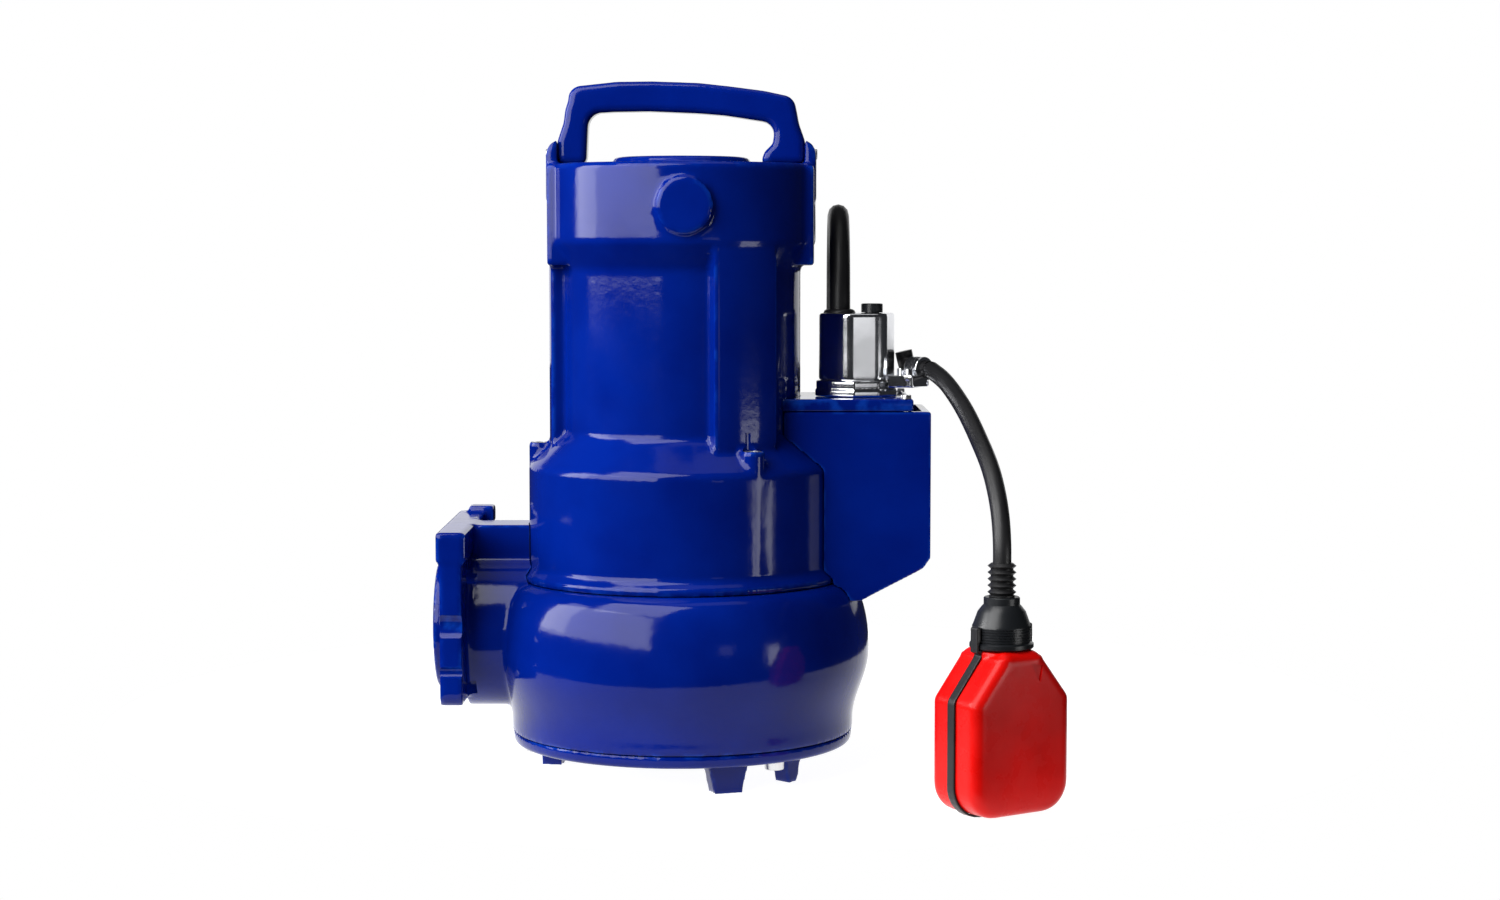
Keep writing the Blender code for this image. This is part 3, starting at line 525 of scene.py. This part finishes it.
def coil_turns(start_degrees, turns, per_turn=16):
    """Layers of turns, wound inwards and outwards in turn. A step to the next place takes two fifths of a
    turn and a climb to the next layer one fifth. They lie in sectors of their own, so none cross."""
    steps = len(COIL_SLOTS) - 1
    moves = []  # when it starts, how long it takes, places outwards, layers upwards
    turn, inward = 0.0, True
    while turn < turns:
        first = math.floor(turn) + (0.1 if inward else 0.5)
        if first < turn:
            first += 1
        for i in range(steps):
            moves.append((first + i, 0.4, -1 if inward else 1, 0))
        climb = first + steps - 1 + (0.7 if inward else 0.9)
        moves.append((climb, 0.2, 0, 1))
        turn = climb + 0.2
        inward = not inward
    spacing = (COIL_SLOTS[-1] - COIL_SLOTS[0]) / steps
    points = []
    for i in range(round(turns * per_turn) + 1):
        at = i / per_turn
        done = [(ease((at - when) / span), side, up) for when, span, side, up in moves]
        radius = COIL_SLOTS[-1] + spacing * sum(share * side for share, side, up in done)
        height = POWER_CABLE_R + COIL_LAYER * sum(share * up for share, side, up in done)
        place = polar(radius, start_degrees + 360 * at, height)
        points.append((COIL_CENTRE.x + place.x, COIL_CENTRE.y + place.y, height))
    return points


POWER_CABLE_ROUTE = [
    (CABLE_X, 0, 309.6),
    *((109 + y / 60, y, z) for y, z in arc((67, 319), 67, 180, 0)),
    (111, 134.6, 290),
    (110, 134.6, 250),
    (108.6, 134, 200),
    (107, 133, 150),
    (105, 131.4, 105),
    *((103.4 - (y - 131) / 25, y, z) for y, z in arc((195, 71.5), 64, 180, 270, 5)),
    (104, 216, 7.5),
]
PLUG_R = 18.0
PLUG_MIDDLE = Vector((COIL_CENTRE.x, COIL_CENTRE.y + COIL_MEAN_R, COIL_HEIGHT + GAP + PLUG_R))
FLOAT_CABLE_ROUTE = [
    (178.5, -31, 273.5),
    (187, -58, 261.5),
    (197, -98, 239),
    (204.5, -130, 215),
    (207.6, -150.5, 191),
    (208, -159.2, 174),
    (208, -160, 158),
    (208, -160, 140),
    (208, -160, 122),
]


def power_cable():
    coil = coil_turns(-25, 15.9)
    rise = [(57, 217.8, 71.5), (74.6, 234.5, 79), (87, 257, 83.5), (93.2, 274, 84.4)]
    bend_r = 63
    bend = Vector((PLUG_MIDDLE.x + 30, PLUG_MIDDLE.y - bend_r, 0))
    for angle, height in ((-20, 85.5), (0, 87.2), (22, 89.6), (44, 92), (67, 93.8), (90, PLUG_MIDDLE.z)):
        rise.append(bend + polar(bend_r, angle, height))
    cable = smooth_curve("power_cable_whole", [*POWER_CABLE_ROUTE, *coil, *rise], POWER_CABLE_R, "rubber")
    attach(cable, "pump")
    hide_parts("power_cable", "power_cable_coil")
    return cable


def float_cable():
    start = PIVOT_MM - EXIT * 1.0
    cable = smooth_curve("float_cable_whole", [start, *FLOAT_CABLE_ROUTE], FLOAT_CABLE_R, "rubber")
    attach(cable, "float")
    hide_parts("float_cable")
    return cable


# --- Castings -----------------------------------------------------------------------------------

HOUSING_PROFILE = [
    (0, TOP_Z + 5),
    (44, TOP_Z + 5),
    (47, TOP_Z + 3.6),
    (48, TOP_Z),
    (90, TOP_Z),
    (COLLAR_R, TOP_Z - 2.5),
    (COLLAR_R, COLLAR_Z),
    (BODY_R + 0.6, COLLAR_Z - 17),
    (BODY_R, COLLAR_Z - 20),
    (BODY_R, SHOULDER_Z + 6),
    (84.5, SHOULDER_Z + 3),
    (104, SHOULDER_Z - 15),
    (LOWER_R, SHOULDER_Z - 18),
    (LOWER_R, JOINT_Z + 9.5),
    (109.5, JOINT_Z + 6),
    (111.3, JOINT_Z + 4.5),
    (111.3, JOINT_Z + GAP),
    (0, JOINT_Z + GAP),
]


def housing():
    shape = bmesh.new()
    turned(shape, HOUSING_PROFILE)
    for angle in RIB_ANGLES:
        outline = [(70, -20), *arc((0, 0), RIB_R, -RIB_HALF_ANGLE, RIB_HALF_ANGLE, 12), (70, 20)]
        plate(shape, [outline], SHOULDER_Z - 8, COLLAR_Z + 7, "Z", turned_z(angle))
        cylinder(shape, 8, polar(TIE_R, angle, (TIE_BOSS_Z + JOINT_Z) / 2), TIE_BOSS_Z - JOINT_Z - GAP)
    for side in (-1, 1):
        outline = [(84.6, 395), (92.6, 395), (92.6, 428), (89.8, 433.4), (84.6, 436.6)]
        plate(shape, [[(side * x, z) for x, z in outline]], -EAR_HALF_WIDTH, EAR_HALF_WIDTH, "Y")
        low, high = sorted((side * 79.0, side * 88.0))
        box(shape, (low, HANDLE_HALF_DEPTH + 0.4, 395), (high, EAR_HALF_WIDTH + 0.4, TOP_Z + 14))
        low, high = sorted((side * 78.0, side * 90.6))
        box(shape, (low, -38, 351), (high, 38, TOP_Z - 1.5))
    cylinder(shape, BOSS_R, BOSS_PLACE, 16, "Y")
    skin = cast(shape)
    tool = bmesh.new()
    cavity = [(0, 412), (74, 412), (74, 214.3), (101, 214.3), (101, 125), (0, 125)]
    turned(tool, cavity, steps=72)
    for angle in RIB_ANGLES:
        cylinder(tool, 6.9, polar(TIE_R, angle, TIE_SEAT_Z + 10), 20, sides=32)
    for side in (-1, 1):
        low, high = sorted((side * 55, side * EAR_INNER_X))
        box(tool, (low, -20, TOP_Z + 0.1), (high, HANDLE_HALF_DEPTH + 0.4, 445))
        cylinder(tool, CAP_SCREW_BORE_R, (side * 90, 0, HANDLE_SCREW_Z), 20, "X", sides=24)
    piece("motor_housing_casting", cut(skin, tool), "blue_paint", ["motor_housing"])


def handle():
    outline = [
        (-84.9, TOP_Z + GAP),
        (-84.9, 436),
        (-80.8, 448),
        (-79.6, 457),
        (-77.6, 463),
        *arc((-68.5, 464.5), 9, 165, 100, 5),
        (-44, 476.2),
        (-20, HANDLE_TOP_Z),
        (12, 475.4),
        (34, 473),
        (57, 470),
        *arc((69, 457.5), 9.8, 70, 10, 5),
        (81, 447),
        (84.9, 436),
        (84.9, TOP_Z + GAP),
        (54, TOP_Z + GAP),
        (57, 428.5),
        (62.6, 434),
        *arc((54.5, 440.5), 9.0, 0, 70, 5),
        (30, 453.2),
        (12, 454.6),
        (-22, 456),
        (-46, 455.6),
        *arc((-54, 445.5), 9.8, 105, 175, 5),
        (-65, TOP_Z + GAP),
    ]
    shape = bmesh.new()
    plate(shape, [outline], -HANDLE_HALF_DEPTH, HANDLE_HALF_DEPTH, "Y", round_edge=4.0)
    skin = cast(shape, 1.3, 6)
    tool = bmesh.new()
    for side in (-1, 1):
        cylinder(tool, CAP_SCREW_BORE_R, (side * 80, 0, HANDLE_SCREW_Z), 20, "X", sides=24)
    piece("carrying_handle_casting", cut(skin, tool), "blue_paint", ["carrying_handle"])


VOLUTE_WIDEST_Z = 85.0


def volute_profile():
    """A quarter of an ellipse down to the widest place, then an S down to the rim."""
    points = [(0, JOINT_Z), (112, JOINT_Z)]
    for degrees in range(88, -1, -4):
        angle = math.radians(degrees)
        points.append((VOLUTE_R - 17.2 * (1 - math.cos(angle)), VOLUTE_WIDEST_Z + 48 * math.sin(angle)))
    for step in range(1, 14):
        swing = 1 + math.cos(math.pi * step / 14)
        points.append((118.6 + 5.7 * swing, VOLUTE_WIDEST_Z - 3.5 * step))
    return [*points, (RIM_R, SEAM_Z), (0, SEAM_Z)]


VOLUTE_PROFILE = volute_profile()
CHAMBER_PROFILE = [
    (0, JOINT_Z + 6),
    (90.3, JOINT_Z + 6),
    (90.3, 122),
    (80, 122),
    (108, 116),
    (119.5, 100),
    (119.5, 84),
    (115, 56),
    (90.4, 41),
    (90.4, SEAM_Z - 6),
    (0, SEAM_Z - 6),
]


def volute():
    shape = bmesh.new()
    turned(shape, VOLUTE_PROFILE)
    cylinder(shape, 53, ((FLANGE_BACK_X - 100) / 2, 0, 98), 50, "X", sides=96)
    width, low, corner = FLANGE_HALF_WIDTH, FLANGE_LOW_Z, 10
    outline = [
        *arc((-width + corner, low + corner), corner, 180, 270),
        *arc((width - corner, low + corner), corner, 270, 360),
        (width, FLANGE_TOP_Z - 4),
        (-width, FLANGE_TOP_Z - 4),
    ]
    plate(shape, [outline], FLANGE_FACE_X, FLANGE_BACK_X, "X")
    box(shape, (-163.3, -width - 0.5, 153), (-143.5, width + 0.5, FLANGE_TOP_Z))
    cylinder(shape, 44.5, (-160, 0, OUTLET_Z), 19, "X", sides=96)
    box(shape, (-155, 62, 165), (-137, width + 0.5, 177.5))
    box(shape, (FLANGE_BACK_X - 5, -18, 130), (-98, 18, FLANGE_TOP_Z - 1))
    skin = cast(shape)
    clearance = bmesh.new()
    inner, outer = LOWER_R + 0.7, 111.8
    sides = [(inner, 190), (inner, JOINT_Z + 10), (outer, JOINT_Z + 5), (outer, JOINT_Z - 0.2)]
    turned(clearance, [(0, 190), *sides, (0, JOINT_Z - 0.2)])
    skin = cut(skin, clearance)
    chamber = bmesh.new()
    turned(chamber, CHAMBER_PROFILE, steps=96)
    skin = cut(skin, chamber)
    tool = bmesh.new()
    cylinder(tool, 25, (-132, 0, OUTLET_Z), 100, "X", sides=64)
    for angle in (45, 135, 225, 315):
        offset = polar(55, angle)
        cylinder(tool, 7, (-160, offset.x, OUTLET_Z + offset.y), 40, "X", sides=32)
    for side in (-1, 1):
        cylinder(tool, 11, (-160, side * (width + 7.5), 110), 40, "X", sides=40)
        cylinder(tool, 4, (-160, side * (width + 1.5), 79), 40, "X", sides=24)
    piece("volute_casting", cut(skin, tool), "blue_paint", ["volute_casing"])


def suction_cover():
    profile = [
        (38, 40),
        (89.9, 38),
        (89.9, SEAM_Z - GAP),
        (RIM_R - 0.7, SEAM_Z - GAP),
        (RIM_R - 0.7, FLOOR_GAP + 4.5),
        (RIM_R - 1.6, FLOOR_GAP + 1.4),
        (RIM_R - 4, FLOOR_GAP),
        (INLET_R + 5, FLOOR_GAP),
        (INLET_R, FLOOR_GAP + 5),
        (INLET_R, 40),
    ]
    shape = bmesh.new()
    turned(shape, profile, closed=True)
    root = FLOOR_GAP + 3
    for angle in FOOT_ANGLES:
        outline = [(-15, root), (-9.7, 0), (9.7, 0), (15, root)]
        plate(shape, [outline], 85, 99, "X", turned_z(angle))
    for angle in LUG_ANGLES:
        outline = [(-10, root), (-4.5, 3), (4.5, 3), (9, root)]
        plate(shape, [outline], 90, 103, "X", turned_z(angle))
    piece("suction_cover_casting", cast(shape, 1.5, 2), "blue_paint", ["suction_cover"])


def cable_box():
    under = [(60, 116), (123, 123), (165, 145), (BOX_RIGHT_X, 152)]
    outline = [(60, BOX_TOP_Z), *under, (BOX_RIGHT_X, BOX_TOP_Z)]
    gap = 0.4
    neighbours = [*HOUSING_PROFILE[6:14], (112, JOINT_Z + 3.5), *VOLUTE_PROFILE[1:24]]
    clear = [(0, COLLAR_Z), *((r + gap, z) for r, z in neighbours), (0, VOLUTE_WIDEST_Z)]
    around = bmesh.new()
    turned(around, clear)
    shape = bmesh.new()
    plate(shape, [outline], -BOX_HALF_DEPTH, BOX_HALF_DEPTH, "Y")
    shell = cast(cut(shape, around.copy()), 1.6, 3)
    pocket = bmesh.new()
    box(pocket, (116, -38, 150), (BOX_RIGHT_X - 6, 38, BOX_TOP_Z + 10))
    piece("cable_box_casting", cut(shell, pocket), "blue_paint", ["cable_box"])
    lid = bmesh.new()
    box(lid, (62, -BOX_HALF_DEPTH, BOX_TOP_Z + GAP), (158, BOX_HALF_DEPTH, LID_TOP_Z), round_edge=1.5)
    lid = cut(lid, around)
    hole = bmesh.new()
    cylinder(hole, 12, (GLAND_X, 0, BOX_TOP_Z), 40, sides=48)
    piece("box_lid_casting", cut(lid, hole), "blue_paint", ["box_lid"])


# --- Screws -------------------------------------------------------------------------------------


def socket_screw(name, place, shank_r, shank, head_r, head, node, aim=(0, 0, 1), metal="stainless"):
    """A cap screw whose head stands on place and looks along aim, with a hexagon socket."""
    shape = bmesh.new()
    edge = 0.12 * head_r
    near = edge * 0.3
    top = [(0, head), (head_r - edge, head), (head_r - near, head - near), (head_r, head - edge)]
    turned(shape, [*top, (head_r, 0), (shank_r, 0), (shank_r, -shank), (0, -shank)], steps=40)
    socket = bmesh.new()
    cylinder(socket, head_r * 0.52, (0, 0, head), head * 1.1, sides=6)
    shape = cut(shape, socket)
    piece(name, shape, metal, [node], to_world=TO_WORLD @ aimed(place, aim))


def screws():
    for number, angle in enumerate(RIB_ANGLES, 1):
        socket_screw(f"tie_bolt_head_{number}", polar(TIE_R, angle, TIE_SEAT_Z + GAP), 4, 97, 6.5, 8,
                     f"tie_bolt_{number}")
    for number, angle in enumerate(SCREW_ANGLES, 1):
        socket_screw(f"cover_bolt_{number}", polar(103, angle, FLOOR_GAP - GAP), 4, 15, 6.5, 6,
                     f"cover_screw_{number}", (0, 0, -1))
    for name, y in (("front", -41), ("back", 41)):
        socket_screw(f"lid_screw_{name}", (BOX_RIGHT_X - 17, y, LID_TOP_Z + GAP), 2, 16, 3.6, 2.5,
                     f"box_lid_screw_{name}")
    for side, name in ((-1, "left"), (1, "right")):
        socket_screw(f"handle_bolt_{name}", (side * 91.5, 0, HANDLE_SCREW_Z), 3.5, 18, 3.45, 2,
                     f"handle_screw_{name}", (side, 0, 0))


# --- Gland and clamp ----------------------------------------------------------------------------


def rounded_polygon(sides, corner_r, rounding, first=0.0, steps=5):
    """A regular outline whose corners are arcs. corner_r is the radius to its sharp corners."""
    half = math.pi / sides
    points = []
    inset = rounding / math.cos(half)
    for i in range(sides):
        at = first + 360 * i / sides
        centre = polar(corner_r - inset, at)
        points += arc(centre, rounding, at - math.degrees(half), at + math.degrees(half), steps)
    return points


def gland():
    shape = bmesh.new()
    place = Matrix.Translation((GLAND_X, 0, 0))
    hexagon = rounded_polygon(6, 28.2, 11, 10)
    plate(shape, [hexagon], 272, GLAND_TOP_Z, "Z", place, round_edge=1.8, segments=4)
    for low, high, radius in ((260.8, 265.6, 28.6), (266.2, 271.6, 27.8)):
        plate(shape, [rounded_polygon(10, radius + 1, 3, 12)], low, high, "Z", place, round_edge=0.7)
    cylinder(shape, 26, (GLAND_X, 0, 267), 11)
    tool = bmesh.new()
    cylinder(tool, 11.3, (CABLE_X, 0, GLAND_TOP_Z), 18, sides=48)
    cylinder(tool, 5.4, (PLUG_X, 0, GLAND_TOP_Z), 26, sides=32)
    skin = cut(cast(shape, 0.6, 2), tool)
    piece("gland_body", skin, "chrome", ["cable_gland"])
    shape = bmesh.new()
    lip = [(11, 318.4), (10.4, 319.6), (9.0, 320.4), (7.9, 320.6), (7.7, 320)]
    turned(shape, [(7.7, 309.3), (11, 309.3), *lip], Matrix.Translation((CABLE_X, 0, 0)), 64, closed=True)
    piece("grommet", shape, "rubber", ["gland_grommet"])
    shape = bmesh.new()
    profile = [(0, 5.2), (6.2, 5.2), (6.9, 6), (7.4, 5.7), (7.5, 5), (7.5, 0), (5, 0), (5, -11), (0, -11)]
    turned(shape, profile, Matrix.Translation((PLUG_X, 0, GLAND_TOP_Z + GAP)), 64)
    piece("blanking_plug", shape, "black_plastic", ["gland_plug"])


def clamp():
    outline = [(141, -20), *arc((158, -18), 3, 200, 290, 3), *arc((168, -8), 3, 300, 20, 3),
               (163, 12), *arc((150, 12), 3, 60, 140, 3), (141, 12)]
    shape = bmesh.new()
    plate(shape, [outline], 267.0, 275.5, "Z", round_edge=0.8)
    middle = CLAMP_POINT - EXIT * 7
    half = [(8.1, 0), (8.6, 1.5), (8.1, 3.2), (8.6, 5.9), (8.0, 6.5), (5, 6.5)]
    saddle = [*reversed(half), *((r, -z) for r, z in half[1:])]
    turned(shape, saddle, aimed(middle, EXIT), 48, closed=True)
    for x, y in CLAMP_SCREWS:
        cylinder(shape, 3.6, (x, y, 274.1), 3.4, sides=32)
    skin = cast(shape, 0.5, 2)
    tool = bmesh.new()
    cylinder(tool, GLAND_R + 3.5, (GLAND_X, 0, 268), 40, sides=96)
    skin = cut(skin, tool)
    bore = bmesh.new()
    cylinder(bore, FLOAT_CABLE_R + 0.15, (0, 0, 0), 60, sides=48, place=aimed(middle, EXIT))
    piece("clamp_saddle", cut(skin, bore), "chrome", ["cable_clamp"])
    for number, (x, y) in enumerate(CLAMP_SCREWS, 1):
        socket_screw(f"clamp_bolt_{number}", (x, y, 275.8), 1.5, 5, 3.0, 4, f"clamp_screw_{number}",
                     metal="chrome")
    tail = [CLAMP_POINT + EXIT * along for along in (4, -4, -11, -17)]
    tail += [(155.5, 9.5, 284.5), (154, 9.5, 291)]
    stub = smooth_curve("float_cable_stub", tail, FLOAT_CABLE_R - 0.1, "rubber")
    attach(stub, "pump")
    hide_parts("float_cable_tail")


# --- Float switch -------------------------------------------------------------------------------


def float_outline(grow=0.0):
    half = FLOAT_WIDTH / 2 + grow
    corner = 20.0 + grow
    low = 1.6 - grow
    right = [
        *arc((half - corner, low + corner), corner, 270, 360),
        (half, 73),
        *arc((half - 7, 73.5), 7, 5, 40, 3),
        (18.8 + grow, 101.5 + grow * 0.4),
        (17.6 + grow, 104),
        (17.5 + grow, FLOAT_HEIGHT),
    ]
    return [(-x, z) for x, z in reversed(right)] + right


def float_shells():
    for name, side in (("front", -1), ("back", 1)):
        shape = bmesh.new()
        plate(shape, [float_outline()], -FLOAT_DEPTH / 2, FLOAT_DEPTH / 2, "Y", round_edge=7.5, segments=5)
        cylinder(shape, 19.4, (0, 0, 104.6), 3.6, sides=64)
        skin = cast(shape, 1.0, 5)
        if side < 0:
            recess = bmesh.new()
            outline = [(6, 99), (15, 97), (13, 87), (10, 90)]
            plate(recess, [outline], -FLOAT_DEPTH / 2 - 4, -FLOAT_DEPTH / 2 + 1.2, "Y")
            skin = cut(skin, recess)
        bmesh.ops.bisect_plane(
            skin, geom=skin.verts[:] + skin.edges[:] + skin.faces[:], plane_co=(0, side * GAP / 2, 0),
            plane_no=(0, -side, 0), clear_outer=True,
        )

        def prepare(node):
            wall = node.modifiers.new("wall", "SOLIDIFY")
            wall.thickness = 2.4
            wall.offset = -1

        shell = evaluated(skin, prepare)
        piece(f"float_half_{name}", shell, "red_plastic", [f"float_shell_{name}"], "float", TO_FLOAT)


def float_fittings():
    shape = bmesh.new()
    hook = [(22.8, 106), (22.8, 112), (22.6, 121), (21.8, 122), (19.8, 122), (19.2, 121), (19.4, 112.5),
            (21.2, 111), (21.2, FLOAT_HEIGHT)]
    left_hook = [(-x, z) for x, z in reversed(hook)]
    band = [*float_outline(1.7)[1:-1], *hook, *reversed(float_outline(GAP)), *left_hook]
    plate(shape, [band], -3.6, 3.6, "Y")
    piece("float_strap", cast(shape, 0.55, 2), "rubber", ["float_band"], "float", TO_FLOAT)

    profile = []
    for i in range(5):
        top = 161.5 - 4.2 * i
        profile += [(7.2, top), (8.9, top - 1.4), (9.2, top - 1.7), (8.9, top - 2.0), (7.3, top - 3.4)]
    profile += [(8.4, 140.8), (8.4, 140.3), (6.1, 140.3), (6.1, 161.5)]
    shape = bmesh.new()
    turned(shape, profile, steps=64, closed=True)
    piece("bend_relief", shape, "rubber", ["float_bend_relief"], "float", TO_FLOAT)

    profile = [(11.0, 140), (11.6, 139.4), (11.6, 135.2), (12.6, 134.2), (15.4, 130.6), (18.3, 122.6)]
    for i in range(6):
        z = 121.6 - 1.7 * i
        profile += [(18.9, z), (18.9, z - 1.0), (18.5, z - 1.3), (18.5, z - 1.6)]
    foot = FLOAT_HEIGHT + GAP
    profile += [(19.6, 111), (20.6, 110.4), (20.6, 108), (20.0, foot), (6.2, foot), (6.2, 140)]
    shape = bmesh.new()
    turned(shape, profile, steps=96, closed=True)
    piece("float_screw_cap", shape, "black_plastic", ["float_cap"], "float", TO_FLOAT)


# --- Plug and tie of the power cable ------------------------------------------------------------


def plug():
    shape = bmesh.new()
    place = aimed(PLUG_MIDDLE, (1, 0, 0)) @ Matrix.Rotation(math.pi / 2, 4, "Z")
    body = [(0, -30), (15.5, -30), (17.2, -29), (PLUG_R, -27), (PLUG_R, -2)]
    body += [(17.4, 1), (15.5, 3.5), (12.2, 5.6)]
    for i in range(6):
        x = 7.5 + 4.6 * i
        radius = 11.0 - 0.38 * i
        body += [(radius, x), (radius, x + 2.6), (radius - 1.3, x + 3.1), (radius - 1.3, x + 4.2)]
    body += [(9.0, 38.5), (7.7, 39), (7.7, 14), (0, 14)]
    turned(shape, body, place, 72)
    for i in range(10):
        ridge = place @ turned_z(36 * i)
        box(shape, (17.2, -1.0, -24), (18.6, 1.0, -6), ridge, round_edge=0.4)
    piece("plug_body", shape, "black_plastic", ["mains_plug"])
    for number, y in enumerate((-9.5, 9.5), 1):
        shape = bmesh.new()
        turned(shape, [(0, 20), (1.6, 20), (2.4, 18.6), (2.4, 0), (0, 0)],
               aimed(PLUG_MIDDLE + Vector((-28, y, 0)), (-1, 0, 0)), 32)
        piece(f"plug_pin_{number}", shape, "stainless")


def coil_tie(degrees):
    """A flat strap about the coil, with its buckle on top."""
    inner, outer = COIL_SLOTS[0] - POWER_CABLE_R - 0.4, COIL_SLOTS[-1] + POWER_CABLE_R + 0.4
    low, high, corner = 0.3, COIL_HEIGHT + 0.5, 8
    loop = [
        *arc((outer - corner, low + corner), corner, 270, 360),
        *arc((outer - corner, high - corner), corner, 0, 90),
        *arc((inner + corner, high - corner), corner, 90, 180),
        *arc((inner + corner, low + corner), corner, 180, 270),
    ]
    middle = ((inner + outer) / 2, (low + high) / 2)
    wide = [(middle[0] + (x - middle[0]) * 1.045, middle[1] + (z - middle[1]) * 1.03) for x, z in loop]
    wide = [(x, max(z, low)) for x, z in wide]
    inside = [(x, z + (1.0 if z < low + 0.5 else 0.0)) for x, z in loop]
    shape = bmesh.new()
    place = Matrix.Translation((*COIL_CENTRE, 0)) @ turned_z(degrees)
    plate(shape, [wide, inside], -9, 9, "Y", place)
    box(shape, (80, -11, high - 0.5), (96, 11, high + 4.5), place, round_edge=1.2)
    return piece("coil_strap", shape, "rubber")


# --- Everything ---------------------------------------------------------------------------------

PIVOT_MM = CLAMP_POINT + EXIT * (FLOAT_CABLE_R + GAP)
studio()
housing()
handle()
volute()
suction_cover()
cable_box()
screws()
gland()
clamp()
float_shells()
float_fittings()
plug()
strap = coil_tie(215)
power_cable()
float_cable()
for node in frame["nodes"].values():
    old = node.material_slots[0].material.name.split(".")[0]
    node.material_slots[0].material = FINISH.get(old, FINISH["bare_iron"])
